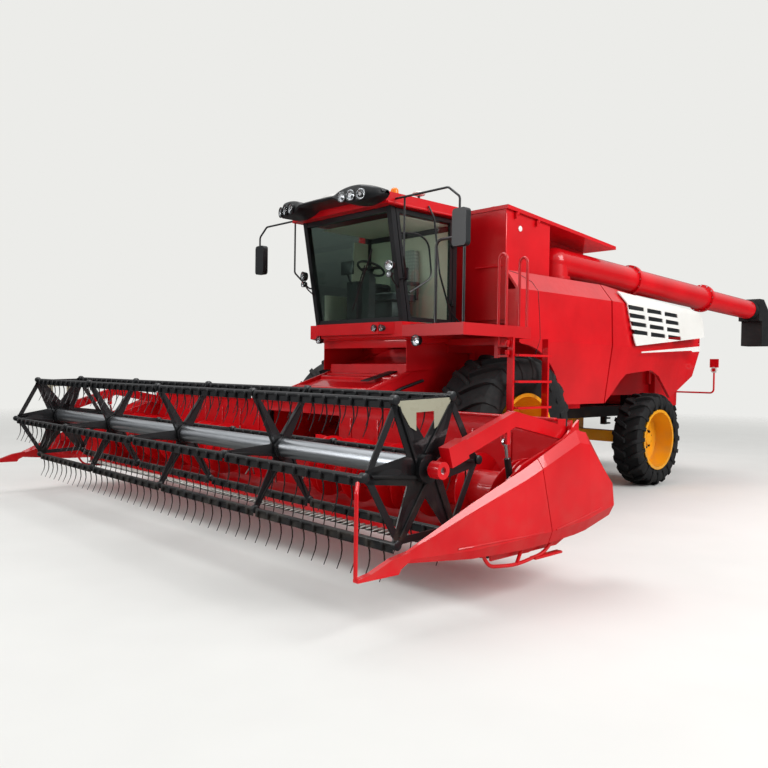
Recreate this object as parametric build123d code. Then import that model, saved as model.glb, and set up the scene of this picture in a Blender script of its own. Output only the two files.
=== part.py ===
"""Combine harvester with its cutting header, as separate sub-parts that move like the real machine.

Millimetres, +Z up, the machine drives towards -Y and its left side is +X.
In the functions below Y is measured from the front axle and Z from the ground;
save() then moves each finished piece so that the origin lies on the ground
under the centre of the whole machine.
"""
import os
from math import atan2, cos, degrees, hypot, radians, sin

from build123d import *

# ---------------------------------------------------------------- driving dimensions
LEFT, RIGHT = 1, -1                 # sign of X on each side
GAP = 0.3                           # clearance between curved pieces that nearly touch
RUN = 0.1                           # radial clearance of a running fit
FIT = 5.0                           # clearance between moving panels and what they shut against

# wheels
WHEELBASE = 3540.0
FRONT_TYRE_R, FRONT_TYRE_W = 940.0, 760.0
FRONT_RIM_R = 460.0
FRONT_TRACK = 2720.0                # between the tyre centres
BEAD = 0.15                         # inset of a tyre's bead, as a share of its width
REAR_TYRE_R, REAR_TYRE_W = 690.0, 460.0
REAR_RIM_R = 420.0
REAR_TRACK = 2600.0
KINGPIN_X = 985.0
KINGPIN_R = 35.0
KNUCKLE_H = 72.0                    # half height of a knuckle between its fork's arms
STEER_ARM = 260.0
TIE_PIN_R, TIE_EYE_R, TIE_ROD_R = 16.0, 32.0, 20.0
SPINDLE_R = 60.0
FRONT_SPINDLE_R = 95.0
RIM_SHARE = 0.9                     # a rim's width as a share of its tyre's
RIM_WALL, RIM_LIP, RIM_LIP_W = 14.0, 26.0, 12.0
DISC_T = 18.0
FRONT_DISC_X, REAR_DISC_X = -60.0, -70.0   # the wheel discs lie this far out from the tyre centre
HUB_BACK, HUB_NOSE = 70.0, 60.0     # reach of a hub each way from its disc

# chassis, axles
RAIL_X0, RAIL_X1 = 480.0, 600.0
RAIL_Z0, RAIL_Z1 = 985.0, 1150.0
RAIL_FRONT, RAIL_REAR = -120.0, WHEELBASE + 990.0
AXLE_BEAM_H = 245.0
AXLE_BEAM_D = 240.0
FINAL_DRIVE = (190.0, 290.0, 210.0)  # half length of its case, reach below and above the spindle
REAR_BEAM_H, REAR_BEAM_D = 170.0, 180.0
RISER_Y, RISER_L = (WHEELBASE - 840.0, WHEELBASE + 660.0), 120.0
CROSS_L, AXLE_SADDLE_L = 100.0, 260.0

# threshing body and deck
BODY_X = 800.0                      # half width of the threshing housing
BODY_FRONT, BODY_REAR = 120.0, WHEELBASE + 1000.0
BODY_TOP, BAY_TOP = 2250.0, 1950.0  # housing top under the tank and under the engine
BAY_FRONT = 2450.0
BODY_STEP = WHEELBASE - 1040.0                  # the housing floor steps up behind this
BODY_REAR_Z = 1330.0
SHEET = 25.0
STRAW_X = 900.0                     # half width of the straw hood
STRAW_Z = 1140.0                    # the straw hood's open bottom
DECK_T = 40.0
DECK_X = 1300.0
TAIL_HINGE_Z = (2230.0, 2400.0)
STRAW_TOP, STRAW_REAR, STRAW_WAIST_Z = 2660.0, BODY_REAR + 790.0, 2150.0
CHOPPER_LOW_Z = 930.0
REAR_LAMP = (1560.0, STRAW_REAR - 90.0, 1370.0, 1790.0)   # X, Y, height of its arm, height of the lamp

# side panels
PANEL_T = 40.0
SEAM_Y = 2020.0
SEAM_GAP = 30.0
PANEL_FRONT = -20.0
PANEL_BULGE_X = 1580.0              # widest point of the side panels
PANEL_CREASE_Z = 2040.0
PANEL_TOP_Z, PANEL_TOP_X = 2870.0, 1380.0
PANEL_LOW_Z, PANEL_LOW_X = 1240.0, 1470.0
TAIL_ANGLE = 3.4                    # the rear panels toe in towards the tail
TAIL_Y = WHEELBASE + 1520.0
PANEL_EDGE_Z = 1262.0               # lower edge of the panels
PANEL_RIM_Z = 2640.0                # the shoulder starts here
REAR_ARCH = ((WHEELBASE - 1310.0, 1400.0), (WHEELBASE - 1120.0, 1570.0), (WHEELBASE - 980.0, 1660.0),
             (WHEELBASE - 210.0, 1720.0), (WHEELBASE + 80.0, 1640.0), (WHEELBASE + 620.0, 1300.0))
REAR_EDGE = ((TAIL_Y - 160.0, 1640.0), (TAIL_Y - 20.0, 2030.0), (TAIL_Y, 2230.0), (TAIL_Y - 60.0, 2620.0))
PANEL_PIN_R = 9.0
PANEL_HINGE_X, PANEL_HINGE_Z = 1336.0, 2855.0
FRONT_LUG_Y, REAR_LUG_Y = 150.0, 1940.0
MOUTH_Z0, MOUTH_Z1 = 1265.0, 2060.0  # opening in the housing's front for the feeder house
FEEDER_PIN_R = 40.0
WHEEL_CUT_R = FRONT_TYRE_R + 120.0                # front panel's cut-out round the front wheel

# grain tank
TANK_X = 1320.0
TANK_FRONT, TANK_REAR = 30.0, 2400.0
TANK_RECESS_Y, TANK_RECESS_X = 920.0, 870.0
TANK_FRONT_Z, TANK_REAR_Z = 3600.0, 3400.0
TANK_T = 30.0
LID_T = 45.0
LID_GAP = 8.0
LID_PIN_R = 8.0
LID_PIN_OUT, LID_PIN_DROP = 22.0, 22.0     # hinge line outside the wall and below the rim
LID_HINGE_Y = {LEFT: (200.0, 620.0), RIGHT: (300.0, 2000.0)}

# engine
ENGINE = (420.0, 2760.0, 3860.0, 1990.0, 2850.0)   # half width, front, rear, bottom, top
HOOD_X, HOOD_Z, HOOD_REAR_Z = 780.0, 2960.0, 2700.0
HOOD_KNEE_Y = BODY_REAR - 540.0                # the hood falls off behind this

# unloading tube
TUBE_PIVOT = (1095.0, 1350.0, 3130.0)
TUBE_END = (1400.0, 7000.0, 2840.0)
TUBE_SECTIONS = (                   # start and end along the tube, radius
    (0.0, 1780.0, 192.0),
    (1780.0, 3930.0, 184.0),
    (3930.0, 5640.0, 165.0),
)
FLANGE_R, FLANGE_T = 225.0, 60.0
ELBOW_R = 185.0
ELBOW_Z0, ELBOW_SPLIT = 2290.0, 2890.0
SPOUT_DROP, SPOUT_REACH, SPOUT_T = 640.0, 480.0, 12.0
ELBOW_T, TUBE_T = 8.0, 5.0
SWIVEL_R = 20.0                     # pin in the elbow that the tube turns on

# cab
CAB_X = 800.0
CAB_REAR = -250.0
CAB_FLOOR_Z, CAB_ROOF_Z = 2220.0, 3500.0
CAB_BOTTOM_Z = 1990.0
SCREEN_LOW_Y, SCREEN_TOP_Y = -1140.0, -1370.0
POST = 70.0
SILL_H = 60.0
GLASS_T = 6.0
ROOF_T = 130.0
ROOF_FRONT, ROOF_REAR = -1490.0, -230.0
ROOF_X = CAB_X + 60.0
DOOR_HINGE_Y = -345.0
DOOR_PIN_R = 10.0
DOOR_FRAME = 45.0
DOOR_T = 40.0
DOOR_HINGE_Z = (2500.0, 3200.0)
DOOR_PIN_OUT = 14.0
REAR_WINDOW = (480.0, 2780.0, 3300.0)      # half width, bottom, top
MIRROR_Y = -1345.0
MIRROR_X, MIRROR_HALF = ROOF_X + 940.0, 95.0
MIRROR_Z = (2945.0, 3330.0)
VISOR_LAMP_R, VISOR_LAMP_X, VISOR_LAMP_STEP = 44.0, 430.0, 140.0

# platform and ladder
PLATFORM_X = 1750.0
PLATFORM_FRONT, PLATFORM_REAR = -1200.0, -30.0
PLATFORM_T = 130.0
LADDER_FRONT, LADDER_REAR = -500.0, 180.0
LADDER_X = 1800.0
LADDER_TOP, LADDER_LOW = 2050.0, 620.0
LADDER_STEP = 290.0
LADDER_PIN_R = 14.0
LADDER_HINGE_Z = (1880.0, 1990.0)
LADDER_T = 30.0
RAIL_R = 16.0
FRONT_RAIL_X = CAB_X + 510.0               # inner leg of the front guard rail, clear of the open door

# feeder house and header
LIFT_PIVOT = (250.0, 1720.0)        # Y, Z
FEEDER_X = 690.0
FEEDER_FRONT = -1830.0
FEEDER_MOUTH = (610.0, 1330.0)      # bottom and top of the feeder house at its front
FEEDER_ROOT = (90.0, 1300.0, 1960.0)       # Y, bottom and top at its rear end
FEEDER_T = 20.0
TROUGH_X = 3560.0
TROUGH_T = 20.0
HEADER_BACK, HEADER_TOP = -1940.0, 1290.0
HEADER_FLOOR = 350.0
SKID_X, SKID_Z = (0.25 * TROUGH_X, 0.65 * TROUGH_X, TROUGH_X - 260.0), 285.0
KNIFE_Y = -2880.0
KNIFE_T = 14.0
FINGER_REACH = 120.0
AUGER_Y, AUGER_Z = -2330.0, 700.0
AUGER_R, AUGER_TUBE_R = 300.0, 165.0
AUGER_X = TROUGH_X - 90.0
AUGER_SHAFT_R = 30.0
FLIGHT_STEP, FLIGHTS, FLIGHT_T = 480.0, 6, 10.0
GUARDS, GUARD_W = 45, 18.0
DIVIDER_Y = -4240.0
DIVIDER_R = 13.0
DIVIDER_Z = (418.0, 940.0)
SHIELD_SECTIONS = (                 # Y, bottom, crease, top, width at the crease
    (-3830.0, 455.0, 480.0, 530.0, 40.0),
    (-3250.0, 400.0, 465.0, 775.0, 110.0),
    (-2720.0, 385.0, 480.0, 965.0, 152.0),
    (-2480.0, 388.0, 488.0, 1060.0, 160.0),
    (-2060.0, 410.0, 515.0, 1225.0, 168.0),
    (-1920.0, 425.0, 530.0, 1200.0, 168.0),
    (-1540.0, 500.0, 590.0, 800.0, 150.0),
)
SHIELD_SEAM = ((-2581.0, 1200.0), (-2386.0, 300.0))

# reel
REEL_ARM_PIVOT = (-1850.0, 1160.0)
REEL_ARM_BEND = (-2620.0, 1320.0)
REEL_ARM_FRONT = (-3330.0, 1085.0)
REEL_ARM_X, REEL_ARM_W, REEL_ARM_H = TROUGH_X - 80.0, 70.0, 110.0
REEL_NOTCH_Z = 1040.0               # the header's back wall is notched down to here at the arms
REEL_Y, REEL_Z, REEL_R = -3420.0, 1000.0, 560.0
REEL_X = REEL_ARM_X - 130.0                     # half length to the end plates
REEL_TUBE_R = 80.0
REEL_SHAFT_R = 25.0
REEL_PIVOT_R = 22.0
REEL_EAR_T = 16.0
REEL_HUB_R, SPIDER_T = 120.0, 12.0
RIM_PLATE = 0.9                     # inner outline of an end plate as a share of its outer one
REEL_STATIONS = 5
BATS = 6
BAT_ANGLE = 62.0                    # angle of the first bat above the rear horizontal
BAR_R = 17.0
BAT_H, BAT_T = 60.0, 8.0
BAT_SIDE_GAP = 26.0

# lift cylinders, both pairs: base pin and rod eye (Y, Z)
ROD_SINK = 0.18                     # share of the cylinder's length that the rod reaches inside
LIFT_CYL = {"x": 330.0, "base": (-230.0, 800.0), "eye": (-1450.0, 660.0), "barrel": 52.0,
            "rod": 30.0, "pin": 20.0, "eye_clear": 17.5}
REEL_CYL = {"x": REEL_ARM_X, "base": (-2560.0, 540.0), "eye": (-2700.0, 1150.0), "barrel": 26.0,
            "rod": 14.0, "pin": 9.0, "eye_clear": 9.0}

# tow hitch
HITCH_BORE_R, HITCH_T, HITCH_MOUTH = 20.5, 25.0, 60.0
HITCH_Y, HITCH_Z = RAIL_REAR + 110.0, 850.0

# overall reach, used for the origin
SPOUT_REAR = TUBE_END[1] + SPOUT_REACH
ORIGIN_Y = (SPOUT_REAR + DIVIDER_Y - DIVIDER_R) / 2
REAR_Y = WHEELBASE
# ---------------------------------------------------------------- end of dimensions


# ---------------------------------------------------------------- helpers
def save(name, *shapes):
    """Move the piece to the machine's origin and write it as one STEP file."""
    pieces = [solid for shape in shapes for solid in shape.solids()]
    moved = [Pos(0, -ORIGIN_Y, 0) * piece for piece in pieces]
    whole = Compound(children=moved) if len(moved) > 1 else moved[0]
    export_step(whole, f"parts/{name}.step")
    print(name, len(moved), "solids")


def block(x0, x1, y0, y1, z0, z1):
    """Box between two corners, whichever way round its X values come."""
    low, high = min(x0, x1), max(x0, x1)
    return Pos((low + high) / 2, (y0 + y1) / 2, (z0 + z1) / 2) * Box(high - low, y1 - y0, z1 - z0)


def round_x(radius, x0, x1, y, z):
    """Cylinder along X."""
    low, high = min(x0, x1), max(x0, x1)
    return Pos((low + high) / 2, y, z) * Rot(0, 90, 0) * Cylinder(radius, high - low)


def round_y(radius, y0, y1, x, z):
    """Cylinder along Y."""
    return Pos(x, (y0 + y1) / 2, z) * Rot(90, 0, 0) * Cylinder(radius, y1 - y0)


def round_z(radius, z0, z1, x, y):
    """Cylinder along Z."""
    return Pos(x, y, (z0 + z1) / 2) * Cylinder(radius, z1 - z0)


def side_plate(points, x0, x1):
    """Outline of (Y, Z) points made as thick as x0 to x1."""
    low, high = min(x0, x1), max(x0, x1)
    outline = Polyline(*[(low, y, z) for y, z in points], close=True)
    return extrude(make_face(outline), amount=high - low, dir=(1, 0, 0))


def cross_plate(points, y0, y1):
    """Outline of (X, Z) points made as long as y0 to y1."""
    outline = Polyline(*[(x, y0, z) for x, z in points], close=True)
    return extrude(make_face(outline), amount=y1 - y0, dir=(0, 1, 0))


def floor_plate(points, z0, z1):
    """Outline of (X, Y) points made as high as z0 to z1."""
    outline = Polyline(*[(x, y, z0) for x, y in points], close=True)
    return extrude(make_face(outline), amount=z1 - z0, dir=(0, 0, 1))


def bent_tube(points, radius, bend):
    """Round bar along straight runs joined by arcs of radius bend."""
    path = FilletPolyline(*points, radius=bend) if len(points) > 2 else Polyline(*points)
    start = Plane(origin=path @ 0, z_dir=path % 0)
    return sweep(start * Circle(radius), path=path)


def bar(start, end, radius):
    """Straight round bar between two points."""
    return bent_tube([start, end], radius, 0)


def mirror_side(shape, side):
    """The shape as drawn for the left, or its mirror image for the right."""
    return shape if side == LEFT else mirror(shape, about=Plane.YZ)


def both(shape):
    """The shape drawn for the left together with its mirror image."""
    return [shape, mirror(shape, about=Plane.YZ)]


def spun_x(points, x0, y, z):
    """Solid of revolution about the line along X through (y, z); points are (X offset, radius)."""
    profile = make_face(Polyline(*[(x0 + x, 0, r) for x, r in points], close=True))
    return Pos(0, y, z) * revolve(profile, axis=Axis.X)


# ---------------------------------------------------------------- wheels
def tyre(track, radius, width, bore, y):
    """Tyre with square shoulders and bulged walls, its tread left plain."""
    half, x0 = width / 2, track / 2
    shoulder, wall = 0.06 * radius, 0.25 * (radius - bore)
    points = [(-half + BEAD * width, bore), (-half + 0.05 * width, bore + 0.6 * wall),
              (-half, bore + 2 * wall), (-half, radius - shoulder), (-half + shoulder, radius),
              (half - shoulder, radius), (half, radius - shoulder), (half, bore + 2 * wall),
              (half - 0.05 * width, bore + 0.6 * wall), (half - BEAD * width, bore)]
    return spun_x(points, x0, y, radius)


def rim(track, radius, width, hub_r, y, z, disc_x):
    """Wheel rim: barrel with lips, a dished disc and a bored hub."""
    half, x0, lip = width / 2, track / 2, radius + RIM_LIP
    barrel = spun_x([(-half, radius - RIM_WALL), (-half, lip), (-half + RIM_LIP_W, lip),
                     (-half + RIM_LIP_W, radius), (half - RIM_LIP_W, radius),
                     (half - RIM_LIP_W, lip), (half, lip), (half, radius - RIM_WALL)], x0, y, z)
    back, face = disc_x - DISC_T / 2, disc_x + DISC_T / 2
    disc = spun_x([(back, hub_r), (back, radius - RIM_WALL + 1), (face, radius - RIM_WALL + 1),
                   (face, hub_r)], x0, y, z)
    bore = hub_r + RUN
    back, face = disc_x - HUB_BACK, disc_x + HUB_NOSE
    hub = spun_x([(back, bore), (back, hub_r * 1.7), (face, hub_r * 1.7), (face, bore)], x0, y, z)
    cut = spun_x([(back - 20, 0), (back - 20, bore), (face + 20, bore), (face + 20, 0)], x0, y, z)
    return barrel + (disc + hub - cut)


def make_wheels():
    """Both pairs of wheels, each with its tyre and its rim."""
    front = tyre(FRONT_TRACK, FRONT_TYRE_R, FRONT_TYRE_W, FRONT_RIM_R + GAP, 0)
    front_rim = rim(FRONT_TRACK, FRONT_RIM_R, FRONT_TYRE_W * RIM_SHARE, FRONT_SPINDLE_R, 0,
                    FRONT_TYRE_R, FRONT_DISC_X)
    rear = tyre(REAR_TRACK, REAR_TYRE_R, REAR_TYRE_W, REAR_RIM_R + GAP, REAR_Y)
    rear_rim = rim(REAR_TRACK, REAR_RIM_R, REAR_TYRE_W * RIM_SHARE, SPINDLE_R, REAR_Y,
                   REAR_TYRE_R, REAR_DISC_X)
    for side, word in ((LEFT, "left"), (RIGHT, "right")):
        save(f"front_tyre_{word}", mirror_side(front, side))
        save(f"front_rim_{word}", mirror_side(front_rim, side))
        save(f"rear_tyre_{word}", mirror_side(rear, side))
        save(f"rear_rim_{word}", mirror_side(rear_rim, side))


# ---------------------------------------------------------------- axles
def make_front_axle():
    """Driven beam with a final drive case and a spindle at each end."""
    beam = block(-720, 720, -AXLE_BEAM_D / 2, AXLE_BEAM_D / 2, RAIL_Z0 - AXLE_BEAM_H, RAIL_Z0)
    inner = FRONT_TRACK / 2 - FRONT_TYRE_W / 2
    half, below, above = FINAL_DRIVE
    case = block(640, inner - 30, -half, half, FRONT_TYRE_R - below, FRONT_TYRE_R + above)
    case = fillet(case.edges().filter_by(Axis.X), 90)
    spindle = round_x(FRONT_SPINDLE_R, inner - 60, FRONT_TRACK / 2 + 5, 0, FRONT_TYRE_R)
    hub_back = FRONT_TRACK / 2 + FRONT_DISC_X - HUB_BACK
    collar = round_x(FRONT_SPINDLE_R * 1.6, inner - 60, hub_back - FIT, 0, FRONT_TYRE_R)
    lug_y, lug_z = LIFT_CYL["base"]
    lugs = []
    for x in (LIFT_CYL["x"] - 72, LIFT_CYL["x"] + 42):
        lugs.append(side_plate([(-AXLE_BEAM_D / 2, lug_z - 55), (lug_y - 45, lug_z - 55),
                                (lug_y - 45, lug_z + 45), (-AXLE_BEAM_D / 2, lug_z + 110)], x, x + 30))
    pin = round_x(LIFT_CYL["pin"], LIFT_CYL["x"] - 72, LIFT_CYL["x"] + 72, lug_y, lug_z)
    left = case + spindle + collar + lugs[0] + lugs[1] + pin
    save("front_axle", beam + left + mirror(left, about=Plane.YZ))


def make_rear_axle():
    """Steered axle: a beam with a forked end for each kingpin."""
    z = REAR_TYRE_R
    beam = block(-KINGPIN_X + 110, KINGPIN_X - 110, REAR_Y - REAR_BEAM_D / 2, REAR_Y + REAR_BEAM_D / 2,
                 z - REAR_BEAM_H / 2, z + REAR_BEAM_H / 2)
    centre = block(-130, 130, REAR_Y - 130, REAR_Y + 130, z - 110, RAIL_Z0 - GAP)
    left = Part()
    inner, outer = KNUCKLE_H + FIT, KNUCKLE_H + FIT + 45
    for z0, z1 in ((z + inner, z + outer), (z - outer, z - inner)):
        left += block(KINGPIN_X - 180, KINGPIN_X + 55, REAR_Y - 70, REAR_Y + 70, z0, z1)
    left += block(KINGPIN_X - 180, KINGPIN_X - 110, REAR_Y - 70, REAR_Y + 70, z - outer, z + outer)
    left += round_z(KINGPIN_R, z - outer, z + outer, KINGPIN_X, REAR_Y)
    save("rear_axle", beam + centre + left + mirror(left, about=Plane.YZ))


def make_steering():
    """Knuckles that turn on the kingpins, their spindles, and the tie rod between the arms."""
    z = REAR_TYRE_R
    for side, word in ((LEFT, "left"), (RIGHT, "right")):
        body = round_z(KINGPIN_R + 28, z - KNUCKLE_H, z + KNUCKLE_H, KINGPIN_X, REAR_Y)
        body += round_x(SPINDLE_R, KINGPIN_X, REAR_TRACK / 2 - 5, REAR_Y, z)
        hub_back = REAR_TRACK / 2 + REAR_DISC_X - HUB_BACK
        body += round_x(KNUCKLE_H, KINGPIN_X + 30, hub_back - FIT, REAR_Y, z)
        arm = block(KINGPIN_X - 30, KINGPIN_X + 30, REAR_Y, REAR_Y + STEER_ARM, z - 20, z + 10)
        arm += round_z(38, z - 20, z + 10, KINGPIN_X, REAR_Y + STEER_ARM)
        pin = round_z(TIE_PIN_R, z + 5, z + 60, KINGPIN_X, REAR_Y + STEER_ARM)
        body = body + arm + pin - round_z(KINGPIN_R + RUN, z - 200, z + 200, KINGPIN_X, REAR_Y)
        save(f"knuckle_{word}", mirror_side(body, side))
    y = REAR_Y + STEER_ARM
    rod = round_x(TIE_ROD_R, -KINGPIN_X, KINGPIN_X, y, z + 36)
    for side in (LEFT, RIGHT):
        rod += round_z(TIE_EYE_R, z + 12, z + 58, side * KINGPIN_X, y)
        rod -= round_z(TIE_PIN_R + RUN, z - 20, z + 90, side * KINGPIN_X, y)
    save("tie_rod", rod)


def make_chassis():
    """Two rails with cross members, risers under the housing and the tow hitch at the tail."""
    frame = Part()
    for side in (LEFT, RIGHT):
        frame += block(side * RAIL_X0, side * RAIL_X1, RAIL_FRONT, RAIL_REAR, RAIL_Z0, RAIL_Z1)
        for y in RISER_Y:
            frame += block(side * RAIL_X0, side * RAIL_X1, y, y + RISER_L, RAIL_Z1, BODY_REAR_Z)
    for y, length in ((RAIL_FRONT, CROSS_L), (REAR_Y - AXLE_SADDLE_L / 2, AXLE_SADDLE_L),
                      (RAIL_REAR - CROSS_L, CROSS_L)):
        frame += block(-RAIL_X1, RAIL_X1, y, y + length, RAIL_Z0, RAIL_Z1)
    neck = block(-45, 45, RAIL_REAR - 60, RAIL_REAR, HITCH_Z - 60, RAIL_Z0)
    frame += neck
    for z in (HITCH_Z - HITCH_MOUTH / 2 - HITCH_T, HITCH_Z + HITCH_MOUTH / 2):
        plate = block(-45, 45, RAIL_REAR - 60, HITCH_Y, z, z + HITCH_T)
        plate += round_z(45, z, z + HITCH_T, 0, HITCH_Y)
        frame += plate
    frame -= round_z(HITCH_BORE_R, HITCH_Z - 200, HITCH_Z + 70, 0, HITCH_Y)
    save("chassis_frame", frame)


# ---------------------------------------------------------------- body, tank, engine
def housing_outline(inset):
    """Side outline of the threshing housing, moved in by inset."""
    front, rear = BODY_FRONT + inset, BODY_REAR - inset
    return [(front, RAIL_Z1 + inset), (front, BODY_TOP - inset), (BAY_FRONT - inset, BODY_TOP - inset),
            (BAY_FRONT - inset, BAY_TOP - inset), (rear, BAY_TOP - inset), (rear, BODY_REAR_Z + inset),
            (BODY_STEP + inset, BODY_REAR_Z + inset), (BODY_STEP - inset, RAIL_Z1 + inset)]


def panel_post(side):
    """Post on the deck with a lug and pin for the rear end of the front panel's hinge."""
    x0, x1 = DECK_X - 60, DECK_X
    post = block(side * x0, side * x1, REAR_LUG_Y - 8, REAR_LUG_Y + 52, BODY_TOP + DECK_T, PANEL_TOP_Z - 20)
    return post + panel_lug(side, x0 + 10, REAR_LUG_Y)


def panel_lug(side, root_x, y):
    """Lug from root_x out to the front panel's hinge line, with a pin that points forwards."""
    x, z = PANEL_HINGE_X, PANEL_HINGE_Z
    lug = block(side * root_x, side * (x + 14), y, y + 22, z - 14, z + 14)
    return lug + round_y(PANEL_PIN_R, y - 62, y, side * x, z)


def make_body():
    """Threshing housing, the deck on top of it and the posts for the side panels."""
    shell = side_plate(housing_outline(0), -BODY_X, BODY_X)
    shell -= side_plate(housing_outline(SHEET), -BODY_X + SHEET, BODY_X - SHEET)
    deck = block(-DECK_X, DECK_X, BODY_FRONT - 60, BAY_FRONT, BODY_TOP, BODY_TOP + DECK_T)
    body = shell + deck
    mouth = FEEDER_X + 15
    body -= block(-mouth, mouth, BODY_FRONT - 20, BODY_FRONT + SHEET + 20, MOUTH_Z0, MOUTH_Z1)
    body += panel_post(LEFT)
    for side in (LEFT, RIGHT):
        body += tail_bracket(side)
        body += round_x(FEEDER_PIN_R, side * (FEEDER_X - 20), side * (BODY_X - SHEET + 2), *LIFT_PIVOT)
    save("threshing_body", body)


def tail_bracket(side):
    """Post at the housing's rear corner with two arms and pins for the rear panel."""
    y, x0, x1 = BODY_REAR - 120, BODY_X + 20, STRAW_X + 60
    x, tail_y = tail_pin()
    post = block(side * (BODY_X - 10), side * (x0 + 40), y, y + 80, 1500, BAY_TOP - 50)
    post += block(side * x0, side * (x0 + 40), y, y + 80, BAY_TOP - 200, TAIL_HINGE_Z[1] - 30)
    for z in TAIL_HINGE_Z:
        outline = [(x0, y), (x0, y + 80), (x1, y + 80), (x - 30, tail_y + 12), (x + 12, tail_y + 12),
                   (x + 12, tail_y - 8), (x - 30, tail_y - 8), (x1, y)]
        post += floor_plate([(side * px, py) for px, py in outline], z - 55, z - 32)
        post += round_z(PANEL_PIN_R, z - 55, z + 30, side * x, tail_y)
    return post


def tail_pin():
    """X and Y of the rear panel's hinge line, just behind its tail edge."""
    angle = radians(TAIL_ANGLE)
    run = TAIL_Y - SEAM_Y
    return PANEL_BULGE_X - 30 - run * sin(angle), TAIL_Y + 14


def panel_section(offset):
    """Cross outline of a left side panel: shoulder, upright face, crease and tucked-in lower face."""
    return [(PANEL_LOW_X - offset, PANEL_LOW_Z), (PANEL_BULGE_X - offset, PANEL_CREASE_Z),
            (PANEL_BULGE_X - 20 - offset, PANEL_RIM_Z), (PANEL_TOP_X - offset, PANEL_TOP_Z)]


def panel_strip(y0, y1):
    """Bent sheet with the panel's cross outline from y0 to y1."""
    outer, inner = panel_section(0), panel_section(PANEL_T)
    return cross_plate(outer + inner[::-1], y0, y1)


def make_front_panel(side, word):
    """Front side panel: cut away round the front wheel, hinged along its top edge."""
    panel = panel_strip(PANEL_FRONT, SEAM_Y)
    panel -= round_x(WHEEL_CUT_R, 0, 2000, 0, FRONT_TYRE_R)
    panel -= side_plate([(-100, 1000), (WHEEL_CUT_R * 0.62, 1000), (WHEEL_CUT_R * 0.62, 1750),
                         (-100, 2050)], 0, 2000)
    panel -= side_plate([(900, PANEL_EDGE_Z - 60), (SEAM_Y + 10, PANEL_EDGE_Z - 60),
                         (SEAM_Y + 10, PANEL_EDGE_Z), (1010, PANEL_EDGE_Z)], 0, 2000)
    panel += block(PANEL_TOP_X - 20, PANEL_BULGE_X - PANEL_T - 2, PANEL_FRONT, PANEL_FRONT + 20,
                   PANEL_CREASE_Z + 50, PANEL_RIM_Z)
    x, z = PANEL_HINGE_X, PANEL_HINGE_Z
    for lug_y in (FRONT_LUG_Y, REAR_LUG_Y):
        y0, y1 = lug_y - 58, lug_y - 3
        panel += round_y(15, y0, y1, x, z) + block(x, PANEL_TOP_X - 4, y0, y1, z - 15, z + 15)
        panel -= round_y(PANEL_PIN_R + RUN, y0 - 10, y1 + 10, x, z)
        panel -= block(x - 20, x + 30, lug_y - 3, lug_y + 27, z - 20, z + 60)
    save(f"front_panel_{word}", mirror_side(panel, side))


def make_rear_panel(side, word):
    """Rear side panel with its wheel arch, toed in, hinged at the tail edge."""
    panel = panel_strip(SEAM_Y + SEAM_GAP, TAIL_Y + 40)
    outline = [(SEAM_Y + SEAM_GAP, PANEL_EDGE_Z), *REAR_ARCH, *REAR_EDGE,
               (SEAM_Y + SEAM_GAP, PANEL_TOP_Z + 5)]
    panel &= side_plate(outline, 0, 3000)
    seam = (PANEL_BULGE_X, SEAM_Y + SEAM_GAP)
    panel = Pos(seam[0], seam[1], 0) * Rot(0, 0, TAIL_ANGLE) * Pos(-seam[0], -seam[1], 0) * panel
    x, y = tail_pin()
    for z in TAIL_HINGE_Z:
        ear = block(x - 14, x + 14, y - 60, y, z - 28, z + 28) + round_z(14, z - 28, z + 28, x, y)
        panel += ear
        panel -= round_z(PANEL_PIN_R + RUN, z - 28, z + 60, x, y)
        panel -= block(x - 60, x + 60, y - 80, y + 20, z - 60, z - 28)
    save(f"rear_panel_{word}", mirror_side(panel, side))


def tank_plan(inset):
    """Plan of the grain tank, with the recess on the left for the unloading elbow."""
    x, front, rear = TANK_X - inset, TANK_FRONT + inset, TANK_REAR - inset
    return [(-x, front), (x, front), (x, TANK_RECESS_Y - inset),
            (TANK_RECESS_X - inset, TANK_RECESS_Y - inset), (TANK_RECESS_X - inset, rear), (-x, rear)]


def tank_top(y):
    """Height of the tank's sloping rim at y."""
    return TANK_FRONT_Z + (TANK_REAR_Z - TANK_FRONT_Z) * (y - TANK_FRONT) / (TANK_REAR - TANK_FRONT)


def make_tank():
    """Open grain tank; the lids close it."""
    z0 = BODY_TOP + DECK_T
    high = TANK_FRONT_Z + 100
    tank = floor_plate(tank_plan(0), z0, high) - floor_plate(tank_plan(TANK_T), z0 + TANK_T, high + 50)
    front, rear = TANK_FRONT - 20, TANK_REAR + 20
    tank -= side_plate([(front, tank_top(front)), (rear, tank_top(rear)), (rear, high + 50),
                        (front, high + 50)], -TANK_X - 20, TANK_X + 20)
    for side in (LEFT, RIGHT):
        for y in LID_HINGE_Y[side]:
            tank += lid_lug(side, y)
        tank += panel_lug(side, TANK_X - 2, FRONT_LUG_Y)
    tank += panel_lug(RIGHT, TANK_X - 2, REAR_LUG_Y)
    save("grain_tank", tank)


def lid_pin_z(y):
    """Height of the lid's hinge line at y."""
    return tank_top(y) - LID_PIN_DROP


def lid_slope():
    """Slope of the tank's rim in degrees."""
    return degrees(atan2(TANK_REAR_Z - TANK_FRONT_Z, TANK_REAR - TANK_FRONT))


def lid_lug(side, y):
    """Lug and pin outside the tank wall that carry a lid."""
    x = side * (TANK_X + LID_PIN_OUT)
    lug = block(side * (TANK_X - 2), x + side * 14, y - 20, y - 2, lid_pin_z(y) - 60, lid_pin_z(y) + 12)
    return lug + Pos(x, y + 14, lid_pin_z(y + 14)) * Rot(90 + lid_slope(), 0, 0) * Cylinder(LID_PIN_R, 66)


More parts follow.
